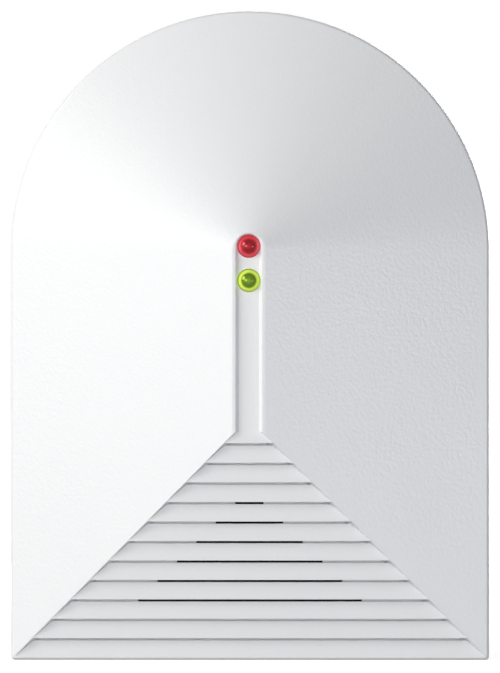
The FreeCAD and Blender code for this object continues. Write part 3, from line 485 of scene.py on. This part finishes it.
def louvre_steps():
    """The lowest step, repeated up the slope."""
    rise = LOUVRE_FOOT + LOUVRE_PITCH
    edge = RIM_DEPTH + HIP_SLOPE * rise
    floor = edge - HIP_SLOPE * LOUVRE_PITCH - GROOVE_DEPTH
    low, high = BOTTOM + rise, BOTTOM + rise + LOUVRE_PITCH
    out = edge + BEYOND
    lip = rounded((floor, low), (edge, low), (edge, high), LIP_RADIUS, steps=4)
    outline = [(out, low - GROOVE_HEIGHT), (floor, low - GROOVE_HEIGHT), (floor, low)]
    outline += [tuple(point) for point in lip] + [(edge, high), (out, high)]
    steps = pulled_along_x("louvre_steps", outline, HALF_WIDTH + BEYOND)
    climb = (0.0, -HIP_SLOPE * LOUVRE_PITCH, LOUVRE_PITCH)
    return grow(steps, STEPS_TREE, count=LOUVRE_COUNT, climb=climb)


def louvre_room():
    """The room between the two leaning walls beside the louvres."""
    lean = FLANK_LEAN / math.sqrt(2)
    skew = (1 / SLOPE + lean) / (1 / HIP_SLOPE - lean)
    ends = []
    for depth in (RIM_DEPTH - LOUVRE_WALL, DEPTH + BEYOND):
        up = (depth - RIM_DEPTH) / HIP_SLOPE
        across = RIM_HALF - (depth - RIM_DEPTH) / SLOPE
        wide = across + (up + BEYOND) * skew
        tip = up + across / skew
        corners = ((-wide, -BEYOND), (wide, -BEYOND), (0.0, tip))
        ends.append([(x, -depth, BOTTOM + z) for x, z in corners])
    return stack_of_rings("louvre_room", ends)


def louvre_cutter():
    """All that is taken away from the lower face."""
    steps = louvre_steps()
    edge = RIM_DEPTH + HIP_SLOPE * LOUVRE_FOOT
    reach = HALF_WIDTH + BEYOND
    top = BOTTOM + LOUVRE_FOOT + LOUVRE_PITCH
    lowest = block("lowest_step", (-reach, -(edge + BEYOND), BOTTOM + LOUVRE_FOOT), (reach, -edge, top))
    carve(steps, [lowest], "UNION")
    return carve(steps, [louvre_room()], "INTERSECT")


def slits():
    """The bars that open the middle grooves to the inside."""
    height = BOTTOM + LOUVRE_FOOT + LOUVRE_PITCH * SLIT_FIRST - GROOVE_HEIGHT / 2
    made = new_object("slits", bpy.data.meshes.new("slits"))
    return grow(
        made, SLITS_TREE, count=SLIT_COUNT, lowest=(0.0, -(RIM_DEPTH + DEPTH) / 2, height),
        climb=(0.0, 0.0, LOUVRE_PITCH), top_width=SLIT_TOP_WIDTH, narrowing=2 * LOUVRE_PITCH,
        through=DEPTH, height=GROOVE_HEIGHT,
    )


# %% [markdown]
# A shallow channel runs up the ridge to the two lights. It is a stack of rings as well: a tombstone outline
# that widens towards the front. Its sides aren't straight. They leave the ridge in a tight curve, stand
# almost upright in the middle and meet the floor in a wider curve, which is what the light shows.

# %% The channel and the holes for the lights
CHANNEL_HALF = 1.82 * mm
CHANNEL_DEPTH = 0.55 * mm
CHANNEL_END = -25.3 * mm
CHANNEL_LEAN = 0.42 * mm
CHANNEL_FOOT_RADIUS = 0.06 * mm
CHANNEL_LIP_RADIUS = 0.12 * mm
CHANNEL_STEPS = 48
red_low, red_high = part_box("red_led")
green_low, green_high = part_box("green_led")
RED_HEIGHT = (red_low.z + red_high.z) / 2
GREEN_HEIGHT = (green_low.z + green_high.z) / 2
LED_RADIUS = 1.5 * mm
LED_HOLE_GAP = 0.12 * mm


def channel_ring(half, depth):
    """The channel's outline at a depth: round at the top, straight across at its lower end."""
    flat = [(half * math.cos(turn), RED_HEIGHT + half * math.sin(turn)) for turn in
            (math.pi * step / CHANNEL_STEPS for step in range(CHANNEL_STEPS + 1))]
    flat += [(-half, CHANNEL_END), (half, CHANNEL_END)]
    return [Vector((x, -depth, z)) for x, z in flat]


def channel_cutter():
    """The channel, from its floor out past the ridge."""
    floor = (0.0, DEPTH - CHANNEL_DEPTH)
    foot = (CHANNEL_HALF - CHANNEL_LEAN, DEPTH - CHANNEL_DEPTH)
    lip = (CHANNEL_HALF, DEPTH)
    far = (HALF_WIDTH, DEPTH)
    section = rounded(floor, foot, lip, CHANNEL_FOOT_RADIUS, steps=5)
    section += rounded(foot, lip, far, CHANNEL_LIP_RADIUS, steps=5)
    section.append((section[-1][0], DEPTH + BEYOND))
    return stack_of_rings("channel", [channel_ring(half, depth) for half, depth in section])


def led_holes():
    """The two round holes through the channel's floor."""
    places = [(0.0, RED_HEIGHT), (0.0, GREEN_HEIGHT)]
    start = DEPTH - ROOF_WALL - BEYOND
    return bars("led_holes", places, start, LED_RADIUS + LED_HOLE_GAP, ROOF_WALL + 2 * BEYOND, sides=64)


carve(cover, [louvre_cutter()])
carve(cover, [channel_cutter(), slits(), led_holes()])
print("cut cover", len(cover.data.polygons), "faces")

# %% [markdown]
# Everything else on the cover is small: two pockets for the snaps, a notch for a screwdriver and the peg
# that presses the tamper switch. They are plain shapes, and they go where the frame's own parts are.

# %% The small features inside the cover
SNAP_WIDTH = 8.0 * mm
SNAP_THICKNESS = 1.2 * mm
SNAP_GAP = 0.4 * mm
SNAP_BITE = 0.7 * mm
SNAP_CATCH = 9.0 * mm
SNAP_BARB = 1.6 * mm
SNAP_FLAT = 0.3 * mm
SNAP_PLAY = 0.15 * mm
NOTCH_WIDTH = 6.0 * mm
NOTCH_DEPTH = 1.4 * mm
TAMPER_POST_RADIUS = 2.1 * mm
TAMPER_GAP = 0.05 * mm
plunger_low, plunger_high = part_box("tamper_plunger")


def snap_window(name, wall, way):
    """The pocket in the wall that a barb catches in; way is 1 at the top and -1 at the foot."""
    half = SNAP_WIDTH / 2 + 2 * SNAP_PLAY
    ends = sorted((wall - way * PAST, wall + way * (SNAP_BITE + SNAP_PLAY)))
    start = SNAP_CATCH - SNAP_PLAY / 3
    finish = SNAP_CATCH + SNAP_BARB + 2 * SNAP_PLAY
    return block(name, (-half, -finish, ends[0]), (half, -start, ends[1]))


def pry_notch():
    """The notch in the lower edge that a screwdriver goes into."""
    half = NOTCH_WIDTH / 2
    front, back = -(BASE_DEPTH + NOTCH_DEPTH), -BASE_DEPTH
    return block("pry_notch", (-half, front, BOTTOM - BEYOND), (half, back, BOTTOM + BEYOND))


def tamper_post():
    """The peg that grows out of the sloping wall and ends just in front of the plunger."""
    middle = (plunger_low + plunger_high) / 2
    start = -plunger_low.y + TAMPER_GAP
    roof = DEPTH - ROOF_WALL / 2 - SLOPE * (middle.x - LAND_HALF)
    return bars("tamper_post", [(middle.x, middle.z)], start, TAMPER_POST_RADIUS, roof - start)


windows = [
    snap_window("upper_window", HALF_WIDTH - COVER_WALL, 1),
    snap_window("lower_window", BOTTOM + COVER_WALL, -1),
]
carve(cover, windows + [pry_notch()])
carve(cover, [tamper_post()], "UNION")
print("finished cover", len(cover.data.polygons), "faces")

# %% [markdown]
# The base is a tray, made from the same rings as the cover, so the two edges match all round the joint.
# Two springy tongues stand on its floor. Their barbs catch in the cover's pockets, and each is one outline
# pulled out along X.

# %% The tray and the tongues of the base
BASE_WALL = 2.0 * mm
BASE_SIDE = 2.0 * mm
TONGUE_INSET = 1.0 * mm
TONGUE_TOP = 6.5 * mm
BACK_RADIUS = 0.5 * mm


def base_tray():
    """The floor, the outer wall and the tongue that the cover slips over, as one stack of rings."""
    section = rounded((HALF_WIDTH, 0.0), (0.0, 0.0), (0.0, BASE_DEPTH), BACK_RADIUS, steps=6)
    section += rounded((0.0, 0.0), (0.0, BASE_DEPTH), (TONGUE_INSET, BASE_DEPTH), FOOT_RADIUS, steps=4)
    section += [
        (TONGUE_INSET, BASE_DEPTH),
        (TONGUE_INSET, TONGUE_TOP),
        (BASE_SIDE, TONGUE_TOP),
        (BASE_SIDE, BASE_WALL),
    ]
    rings = [outline_ring(inset, inset, depth, OUTER_CORNER) for inset, depth in section]
    return stack_of_rings("base_tray", rings)


def snap_tongue(name, wall, way):
    """A springy tongue with a barb at its tip."""
    outer = wall - way * SNAP_GAP
    inner = outer - way * SNAP_THICKNESS
    barb = wall + way * SNAP_BITE
    root = BASE_WALL - ROOTED
    tip = SNAP_CATCH + SNAP_BARB
    outline = [
        (root, inner), (root, outer), (SNAP_CATCH, outer), (SNAP_CATCH, barb),
        (SNAP_CATCH + SNAP_FLAT, barb), (tip, outer), (tip, inner),
    ]
    return pulled_along_x(name, outline, SNAP_WIDTH / 2)


base = base_tray()
tongues = [
    snap_tongue("upper_snap", HALF_WIDTH - COVER_WALL, 1),
    snap_tongue("lower_snap", BOTTOM + COVER_WALL, -1),
]
print("tray", len(base.data.polygons), "faces")

# %% [markdown]
# Four posts carry the circuit board. Two of them take its screws and the other two end in pins that fit its
# holes. The wall screws and the wires get their openings in the floor. Posts, pins and round holes are the
# same bars on points as before, because they repeat, and the places of the wall screws are the record's.

# %% Posts, pins and openings of the base
POST_RADIUS = 2.5 * mm
POST_SPREAD = 22.0 * mm
POST_TOP = 4.0 * mm
POST_FOOT = BOTTOM + 16.0 * mm
POST_START = BASE_WALL - ROOTED
BOARD_HOLE_RADIUS = 1.25 * mm
PIN_GAP = 0.1 * mm
PIN_PROUD = 0.6 * mm
PILOT_RADIUS = 1.15 * mm
PILOT_DEPTH = 3.6 * mm
MOUNT_RADIUS = 2.1 * mm
ENTRY_WIDTH = 16.0 * mm
ENTRY_TALL = 8.0 * mm
ENTRY_CORNER = 1.0 * mm
ENTRY_CENTRE = 22.5 * mm
ENTRY_STEPS = 6
board_low, board_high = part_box("circuit_board")
BOARD_BACK = -board_high.y
BOARD_FRONT = -board_low.y


def wire_entry():
    """The opening for the wires, with round corners."""
    across = ENTRY_WIDTH / 2 - ENTRY_CORNER
    up = ENTRY_TALL / 2 - ENTRY_CORNER
    outline = []
    for quarter, (x, z) in enumerate(((across, up), (-across, up), (-across, -up), (across, -up))):
        for step in range(ENTRY_STEPS + 1):
            turn = (quarter + step / ENTRY_STEPS) * math.pi / 2
            side = x + ENTRY_CORNER * math.cos(turn)
            outline.append((side, ENTRY_CENTRE + z + ENTRY_CORNER * math.sin(turn)))
    ends = [[(x, -depth, z) for x, z in outline] for depth in (-PAST, BASE_WALL + PAST)]
    return stack_of_rings("wire_entry", ends)


screw_places = [(-POST_SPREAD, POST_TOP), (POST_SPREAD, POST_FOOT)]
pin_places = [(POST_SPREAD, POST_TOP), (-POST_SPREAD, POST_FOOT)]
mount = next(one for one in record["mounts"] if one["name"] == "wall_screws")
mount_x = mount["dims"]["spacing_x_mm"] / 2 * mm
mount_z = mount["dims"]["spacing_y_mm"] / 2 * mm
mount_places = [(x, mount["pos_m"][2] + z) for x in (-mount_x, mount_x) for z in (-mount_z, mount_z)]
pin_start = BOARD_BACK - ROOTED
pin_length = BOARD_FRONT + PIN_PROUD - pin_start

posts = bars("posts", screw_places + pin_places, POST_START, POST_RADIUS, BOARD_BACK - POST_START)
carve(base, [posts] + tongues, "UNION")
carve(base, [bars("pins", pin_places, pin_start, BOARD_HOLE_RADIUS - PIN_GAP, pin_length)], "UNION")
carve(base, [
    bars("mount_holes", mount_places, -PAST, MOUNT_RADIUS, BASE_WALL + 2 * PAST, sides=64),
    bars("pilots", screw_places, BOARD_BACK - PILOT_DEPTH, PILOT_RADIUS, PILOT_DEPTH + PAST, sides=32),
    wire_entry(),
])
print("base", len(base.data.polygons), "faces")

# %% [markdown]
# An LED is a turned form: a dome on a short cylinder with a flange at its foot. It is lathed round its own
# axis, with enough steps that the dome stays round when the light catches it.

# %% The two LEDs
LATHE_STEPS = 64
DOME_STEPS = 16
FLANGE_RADIUS = 1.9 * mm
FLANGE_HEIGHT = 1.0 * mm
FLANGE_ROUNDING = 0.12 * mm


def lathe(name, profile, height, steps=LATHE_STEPS):
    """Turns a profile of radius and depth round an axis that looks along Y at a height."""
    shape = bmesh.new()
    rows = []
    for radius, depth in profile:
        if radius == 0:
            rows.append([shape.verts.new((0.0, -depth, height))] * steps)
            continue
        turns = (2 * math.pi * step / steps for step in range(steps))
        rows.append([
            shape.verts.new((radius * math.cos(turn), -depth, height + radius * math.sin(turn)))
            for turn in turns
        ])
    for lower, upper in zip(rows, rows[1:]):
        for here in range(steps):
            there = (here + 1) % steps
            corners = [lower[here], lower[there], upper[there], upper[here]]
            shape.faces.new(list(dict.fromkeys(corners)))
    return from_bmesh(name, shape)


def led(name, low, high):
    """A clear-coloured lens with its flange."""
    foot, tip = -high.y, -low.y
    shoulder = tip - LED_RADIUS
    centre, lower = (0.0, foot), (FLANGE_RADIUS, foot)
    upper, neck = (FLANGE_RADIUS, foot + FLANGE_HEIGHT), (LED_RADIUS, foot + FLANGE_HEIGHT)
    flange = rounded(centre, lower, upper, FLANGE_ROUNDING, steps=3)
    flange += rounded(lower, upper, neck, FLANGE_ROUNDING, steps=3)
    profile = [centre] + [tuple(point) for point in flange] + [neck]
    for step in range(DOME_STEPS + 1):
        turn = step * math.pi / (2 * DOME_STEPS)
        radius = LED_RADIUS * math.cos(turn) if step < DOME_STEPS else 0.0
        profile.append((radius, shoulder + LED_RADIUS * math.sin(turn)))
    return lathe(name, profile, (low.z + high.z) / 2)


red_lens = led("red_lens", red_low, red_high)
green_lens = led("green_lens", green_low, green_high)
print("lens", len(red_lens.data.polygons), "faces")

# %% [markdown]
# Each finish is a small node tree. Its pattern is read in Object coordinates, in metres, so a grain of a
# third of a millimetre is a noise of about three thousand to the metre. The colour, the roughness and the
# bump vary over the surface; whatever stays the same is set on the shader's own socket.

# %% Helpers for finishes
def finish_board(name):
    """A new material, its board and the place on the object as a wire."""
    material = bpy.data.materials.new(name)
    material.use_nodes = True
    material.node_tree.nodes.clear()
    board = Board(material.node_tree)
    return material, board, board.node("ShaderNodeTexCoord").wire("Object")


def shade(board, inputs):
    """Closes a material with the principled shader."""
    shader = board.node("ShaderNodeBsdfPrincipled", inputs=inputs)
    board.node("ShaderNodeOutputMaterial", inputs={"Surface": shader.wire("BSDF")})


def stretched(board, spot, scale):
    """The place, stretched along an axis."""
    return board.node("ShaderNodeMapping", inputs={"Vector": spot, "Scale": scale}).wire()


def noise(board, spot, size, detail=2.0):
    """A noise of about that size in metres, from 0 to 1."""
    inputs = {"Vector": spot, "Scale": 1 / size, "Detail": detail}
    return board.node("ShaderNodeTexNoise", inputs=inputs).wire("Fac")


def bump(board, height, distance):
    """A fine relief, that many metres high."""
    inputs = {"Height": height, "Distance": distance, "Strength": 1.0}
    return board.node("ShaderNodeBump", inputs=inputs).wire()


def tint(board, mask, first, second):
    """The first colour where the mask is 0 and the second where it is 1."""
    inputs = {0: mask, 6: (*first, 1.0), 7: (*second, 1.0)}
    return board.node("ShaderNodeMix", {"data_type": "RGBA"}, inputs).wire(2)


def darker(colour, share):
    """A colour taken down to a share of its light."""
    return tuple(part * share for part in colour)


# %% [markdown]
# The housing is a pale moulded plastic with a satin grain. A moulder etches that grain into the steel, so
# it is even all over: two sizes of noise for the relief, and a slow one that lets the gloss and the colour
# drift by a hair, as they do on a real moulding.

# %% Moulded plastics, rubber and ceramic
def moulded(name, colour, gloss, grain, relief=0.003 * mm, drift=0.03):
    """A moulded surface with an etched grain."""
    material, board, spot = finish_board(name)
    fine = noise(board, spot, grain)
    coarse = noise(board, spot, 6 * grain)
    slow = noise(board, spot, 18 * mm, 3.0)
    shade(board, {
        "Base Color": tint(board, slow, darker(colour, 1 - drift), colour),
        "Roughness": gloss + 0.08 * (slow - 0.5) + 0.05 * (fine - 0.5),
        "Normal": bump(board, fine * 0.75 + coarse * 0.25, relief),
    })
    return material


THREAD = 0.35 * mm


def woven(name, colour):
    """A fine plain weave, from two waves that cross."""
    material, board, spot = finish_board(name)
    waves = []
    for axis in ("X", "Z"):
        inputs = {"Vector": spot, "Scale": math.pi / (10 * THREAD)}
        waves.append(board.node("ShaderNodeTexWave", {"bands_direction": axis}, inputs).wire("Fac"))
    height = waves[0] * waves[1]
    shade(board, {
        "Base Color": tint(board, height, darker(colour, 0.4), colour),
        "Roughness": 0.95 - 0.1 * height,
        "Normal": bump(board, height, 0.08 * mm),
    })
    return material


# %% [markdown]
# Metals differ by how they were worked: tinned leads are dull and cloudy, a drawn can has lines along its
# draw, and a plated screw is turned. So one function takes the stretch of its lines.

# %% Metals
STREAK = 0.3 * mm
LENGTHWISE = (1.0, 0.03, 1.0)
EVEN = (1.0, 1.0, 1.0)


def worked_metal(name, colour, gloss, lines):
    """A metal with lines that run along the axis whose scale is small."""
    material, board, spot = finish_board(name)
    streaks = noise(board, stretched(board, spot, lines), STREAK, 3.0)
    cloud = noise(board, spot, 2 * mm)
    shade(board, {
        "Base Color": tint(board, streaks, darker(colour, 0.85), colour),
        "Roughness": gloss + 0.12 * (streaks - 0.5) + 0.1 * (cloud - 0.5),
        "Metallic": 1.0,
        "Normal": bump(board, streaks, 0.002 * mm),
    })
    return material


# %% [markdown]
# The circuit board has a green mask over copper tracks, which show as slightly raised, paler lines. Two
# brick patterns make such lines at right angles without drawing any real circuit.

# %% The circuit board
def circuit(name, colour):
    """A solder mask over raised tracks."""
    material, board, spot = finish_board(name)
    turn = (math.pi / 2, 0.0, 0.0)
    turned = board.node("ShaderNodeMapping", inputs={"Vector": spot, "Rotation": turn}).wire()
    tracks = board.node("ShaderNodeTexBrick", {"offset": 0.37, "squash": 1.4}, {
        "Vector": turned, "Scale": 1.0, "Mortar Size": 0.16 * mm, "Brick Width": 5.1 * mm,
        "Row Height": 1.27 * mm, "Mortar Smooth": 0.2,
    }).wire("Fac")
    cloud = noise(board, spot, 3 * mm)
    light = tuple(min(1.0, 1.2 * part + 0.01) for part in colour)
    shade(board, {
        "Base Color": tint(board, tracks, colour, light),
        "Roughness": 0.32 + 0.1 * cloud,
        "Coat Weight": 0.25 + 0.1 * tracks,
        "Normal": bump(board, tracks, 0.03 * mm),
    })
    return material


# %% [markdown]
# An LED's body is tinted resin. Looking straight in, one sees a bright ring where the resin bends light
# round the rim, a dark cup below it and a warm point in the middle. The rings are drawn from the distance
# to the LED's own axis, and the bright ring is painted light in the colour. A little painted glow stands
# for light that travels inside the resin, so the lens glows though it is no lamp. The ring is painted paler
# on its left and right, a painted reflection of the white walls of the channel that shine into it. The
# glints are strong but tinted, because most of their light has been inside the resin and comes back from
# the cup.

# %% LED lenses
RAMP_END = 1.3


def lens(name, height, stops, pale, glint):
    """Rings of colour round an axis along Y at a height, with painted light in the bright ring, painted
    reflection at its sides and a painted glow; stops are radii as shares of the lens's own.
    """
    material, board, spot = finish_board(name)
    parts = board.node("ShaderNodeSeparateXYZ", inputs={"Vector": spot})
    across = parts.wire("X") / LED_RADIUS
    up = (parts.wire("Z") - height) / LED_RADIUS
    radius = (across * across + up * up) ** 0.5
    ramp = board.node("ShaderNodeValToRGB", {"stops": stops}, {"Fac": radius / RAMP_END}).wire("Color")
    # painted reflection: the ring is mixed towards a pale colour at its left and right, where the channel's
    # white walls shine into it
    wall_shine_mask = (across * across).between(0.3, 0.9) * radius.between(0.66, 0.84)
    inputs = {0: wall_shine_mask * 0.6, 6: ramp, 7: (*pale, 1.0)}
    colour = board.node("ShaderNodeMix", {"data_type": "RGBA"}, inputs).wire(2)
    shade(board, {
        "Base Color": colour,
        "Roughness": 0.06 + 0.03 * noise(board, spot, 0.5 * mm),
        "Specular IOR Level": 1.0,
        "Specular Tint": (*glint, 1.0),
        # painted glow: the ring colours are emitted, so the lens glows though it is no lamp
        "Emission Color": colour,
        "Emission Strength": 0.35,
    })
    return material


def rings(*pairs):
    """Stops of a ramp, from radii in shares of the lens's own radius."""
    return [(share / RAMP_END, (*colour, 1.0)) for share, colour in pairs]


# The ring stops are painted light: a bright ring at the rim with a pale fringe past it, round a dark middle
RED_RINGS = rings(
    (0.0, (0.38, 0.006, 0.008)), (0.2, (0.24, 0.003, 0.005)), (0.42, (0.13, 0.002, 0.004)),
    (0.63, (0.18, 0.003, 0.006)), (0.75, (0.56, 0.02, 0.03)), (0.94, (0.60, 0.05, 0.07)),
    (1.1, (0.62, 0.16, 0.18)),
)
# painted reflection of the channel's white walls in the ring's sides
RED_WALL_SHINE = (0.74, 0.17, 0.22)
RED_GLINT = (1.0, 0.22, 0.27)
GREEN_RINGS = rings(
    (0.0, (0.11, 0.26, 0.03)), (0.2, (0.07, 0.16, 0.014)), (0.45, (0.038, 0.09, 0.004)),
    (0.64, (0.05, 0.11, 0.004)), (0.76, (0.50, 0.66, 0.06)), (0.93, (0.54, 0.69, 0.09)),
    (1.1, (0.40, 0.50, 0.12)),
)
# painted reflection of the channel's white walls in the ring's sides
GREEN_WALL_SHINE = (0.56, 0.74, 0.10)
GREEN_GLINT = (0.85, 1.0, 0.15)

# %% [markdown]
# The record names a slot for every node, so the finishes are made once for each slot and given out by it.
# The colours are the record's own, apart from two cases: the LEDs have the rings that are drawn above, and
# the housing's white is a little deeper than the record's, as it is on most white plastics. Plastics and
# metals differ only in a few values, so these stand in two tables.

# %% A finish for every slot
HOUSING_COLOUR = (0.80, 0.805, 0.81)
colour_of = {one["slot"]: tuple(one["base_color"]) for one in record["materials"]}
colour_of["white_housing"] = HOUSING_COLOUR
slot_of = {part["node"]: part["material_slot"] for part in record["subparts"]}

PLASTICS = {
    "white_housing": {"gloss": 0.33, "grain": 0.45 * mm, "relief": 0.04 * mm},
    "black_plastic": {"gloss": 0.5, "grain": 0.2 * mm},
    "black_rubber": {"gloss": 0.75, "grain": 0.25 * mm, "relief": 0.006 * mm},
    "green_plastic": {"gloss": 0.4, "grain": 0.3 * mm},
    "blue_plastic": {"gloss": 0.35, "grain": 0.3 * mm},
    "natural_nylon": {"gloss": 0.48, "grain": 0.3 * mm},
    "grey_ceramic": {"gloss": 0.6, "grain": 0.1 * mm, "relief": 0.002 * mm, "drift": 0.2},
    "dark_sleeve": {"gloss": 0.22, "grain": 0.8 * mm, "relief": 0.002 * mm},
}
METALS = {
    "tinned_metal": {"gloss": 0.35, "lines": EVEN},
    "aluminium_can": {"gloss": 0.28, "lines": LENGTHWISE},
    "screw_steel": {"gloss": 0.3, "lines": LENGTHWISE},
}

finishes = {
    "red_lens": lens("red_lens", RED_HEIGHT, RED_RINGS, RED_WALL_SHINE, RED_GLINT),
    "green_lens": lens("green_lens", GREEN_HEIGHT, GREEN_RINGS, GREEN_WALL_SHINE, GREEN_GLINT),
    "green_board": circuit("green_board", colour_of["green_board"]),
    "black_cloth": woven("black_cloth", colour_of["black_cloth"]),
}
for slot, values in PLASTICS.items():
    finishes[slot] = moulded(slot, colour_of[slot], **values)
for slot, values in METALS.items():
    finishes[slot] = worked_metal(slot, colour_of[slot], **values)
print(len(finishes), "finishes for", len(colour_of), "slots")

# %% [markdown]
# The pieces that were remade take their node's place. All others are copied from the frame, joined up where
# their triangles meet and shaded smooth up to a sharp edge, so that a round can is round. Each one rides on
# the body that its node belongs to.

# %% Placing the pieces
SHARP = math.radians(30)
FLAT = math.radians(0.3)
replaced = {"front_cover": cover, "rear_base": base, "red_led": red_lens, "green_led": green_lens}


def smooth_faces(mesh):
    """Shades a mesh smooth up to its sharp edges."""
    mesh.shade_smooth()
    mesh.set_sharp_from_angle(angle=SHARP)


def joined_copy(node, source):
    """The node's own shape with its loose triangles joined, and each flat face made one face again."""
    shape = bmesh.new()
    shape.from_mesh(source.data)
    bmesh.ops.remove_doubles(shape, verts=shape.verts, dist=0.0005 * mm)
    bmesh.ops.dissolve_limit(shape, angle_limit=FLAT, verts=shape.verts, edges=shape.edges)
    mesh = bpy.data.meshes.new(f"{node}_piece")
    shape.to_mesh(mesh)
    shape.free()
    return new_object(f"{node}_piece", mesh)


def weigh_normals(piece):
    """Lets the large faces decide the shading of the small ones beside them."""
    modifier = piece.modifiers.new("weigh_normals", "WEIGHTED_NORMAL")
    modifier.keep_sharp = True
    modifier.weight = 80
    return bake(piece)


for body, members in record["behaviour"]["bodies"].items():
    for node in members:
        piece = replaced.get(node) or joined_copy(node, frame["nodes"][node])
        piece.name = f"{node}_piece"
        smooth_faces(piece.data)
        weigh_normals(piece)
        piece.data.materials.clear()
        piece.data.materials.append(finishes[slot_of[node]])
        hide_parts(node)
        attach(piece, body)
print("dressed", len(slot_of), "nodes")

# %% [markdown]
# The object stands in a plain studio. The camera looks at the front from far away, so the housing shows
# almost without perspective, and from a hair to the right, because in the photograph the ridge lies a pixel
# left of the outline's middle. Its place comes from the photograph's frame, in which the housing's width
# and height are known.

# %% The camera
PICTURE_HEIGHT = 673
PIXEL = 0.1386 * mm
VIEW_CENTRE = Vector((0.007 * mm, -RIM_DEPTH, -11.93 * mm))
VIEW_DISTANCE = 1500 * mm
VIEW_AZIMUTH = math.radians(0.8)
SENSOR = 36.0

camera_data = bpy.data.cameras.new("camera")
camera_data.sensor_width = SENSOR
camera_data.sensor_fit = "AUTO"
camera_data.lens = SENSOR * VIEW_DISTANCE / (PICTURE_HEIGHT * PIXEL)
camera_data.clip_start = 0.01
camera_data.clip_end = 20.0
camera = new_object("camera", camera_data)
view = Vector((math.sin(VIEW_AZIMUTH), -math.cos(VIEW_AZIMUTH), 0.0))
camera.location = VIEW_CENTRE + view * VIEW_DISTANCE
camera.rotation_euler = (math.pi / 2, 0.0, VIEW_AZIMUTH)
bpy.context.scene.camera = camera
print("lens", round(camera_data.lens, 1), "mm")

# %% [markdown]
# The light is soft. A large key from the upper left makes one long facet bright and lets the other fall
# off, and a weaker one beside the camera fills the louvres. A small cool lamp low on the right gives the
# far facet its sheen. One behind the object, round to its right, serves the views of its back and of its
# right wall, and doesn't reach the front. The floor is pale. Where the camera looks at it directly it also
# glows, so that it reads as white paper while the shadow under the object stays. It casts no shadow itself,
# so the low lamp reaches the object, and it throws little light back up, as a table does that ends soon.

# %% The studio
LAMP_DISTANCE = 0.6
AIM = Vector((0.0, -DEPTH / 2, (BOTTOM + HALF_WIDTH) / 2))


def lamp(name, azimuth, elevation, size, power, colour=(1.0, 1.0, 1.0)):
    """A square lamp; azimuth 0 is straight in front of the object and 90 is on its right."""
    data = bpy.data.lights.new(name, "AREA")
    data.shape = "SQUARE"
    data.size = size
    data.energy = power
    data.color = colour
    made = new_object(name, data)
    made.visible_camera = False
    across, up = math.radians(azimuth), math.radians(elevation)
    way = Vector((math.sin(across) * math.cos(up), -math.cos(across) * math.cos(up), math.sin(up)))
    made.location = AIM + way * LAMP_DISTANCE
    made.rotation_euler = way.to_track_quat("Z", "Y").to_euler()
    return made


lamp("key_left", -60.0, 22.0, 0.3, 2.32, (1.0, 1.0, 0.985))
lamp("front_left", -30.0, 0.0, 0.3, 1.58)
lamp("cool_right", 40.5, -7.0, 0.15, 0.87, (0.90, 0.91, 1.0))
lamp("behind", 160.0, 5.0, 0.5, 3.4)


WHITE = (1.0, 1.0, 1.0, 1.0)


def looked_at(board):
    """1 for a ray that looks at a thing, straight, in a reflection or through glass, and 0 for light."""
    path = board.node("ShaderNodeLightPath")
    return path.wire("Is Camera Ray") + path.wire("Is Glossy Ray") + path.wire("Is Transmission Ray")


def daylight(strength):
    """White where the camera or a reflection looks at it, and weaker as a light."""
    world = bpy.data.worlds.new("studio")
    world.use_nodes = True
    world.node_tree.nodes.clear()
    bpy.context.scene.world = world
    board = Board(world.node_tree)
    dim = board.node("ShaderNodeBackground", inputs={"Color": WHITE, "Strength": strength})
    white = board.node("ShaderNodeBackground", inputs={"Color": WHITE, "Strength": 1.0})
    both = board.node("ShaderNodeMixShader", inputs={0: looked_at(board), 1: dim.wire(), 2: white.wire()})
    board.node("ShaderNodeOutputWorld", inputs={"Surface": both.wire()})


daylight(0.12)
FLOOR_GAP = 0.03 * mm


def pale_floor():
    """A wide sheet under the object."""
    shape = bmesh.new()
    bmesh.ops.create_grid(shape, x_segments=1, y_segments=1, size=4.0)
    bmesh.ops.translate(shape, verts=shape.verts, vec=(0.0, 0.0, BOTTOM - FLOOR_GAP))
    mesh = bpy.data.meshes.new("floor")
    shape.to_mesh(mesh)
    shape.free()
    floor = new_object("floor", mesh)
    material, board, spot = finish_board("paper_floor")
    parts = board.node("ShaderNodeSeparateXYZ", inputs={"Vector": spot})
    away = (parts.wire("X") ** 2 + parts.wire("Y") ** 2) ** 0.5
    paper = board.node("ShaderNodeBsdfDiffuse", inputs={"Color": (0.82, 0.82, 0.82, 1.0)})
    glow = board.node("ShaderNodeEmission", inputs={
        "Color": WHITE, "Strength": 0.65 + 0.35 * away.between(50 * mm, 350 * mm),
    })
    both = board.node("ShaderNodeAddShader", inputs={0: paper.wire(), 1: glow.wire()})
    dull = board.node("ShaderNodeBsdfDiffuse", inputs={"Color": (0.25, 0.25, 0.25, 1.0)})
    chosen = board.node("ShaderNodeMixShader", inputs={0: looked_at(board), 1: dull.wire(), 2: both.wire()})
    board.node("ShaderNodeOutputMaterial", inputs={"Surface": chosen.wire()})
    floor.data.materials.append(material)
    floor.visible_shadow = False


pale_floor()
bpy.context.scene.view_settings.view_transform = "Standard"
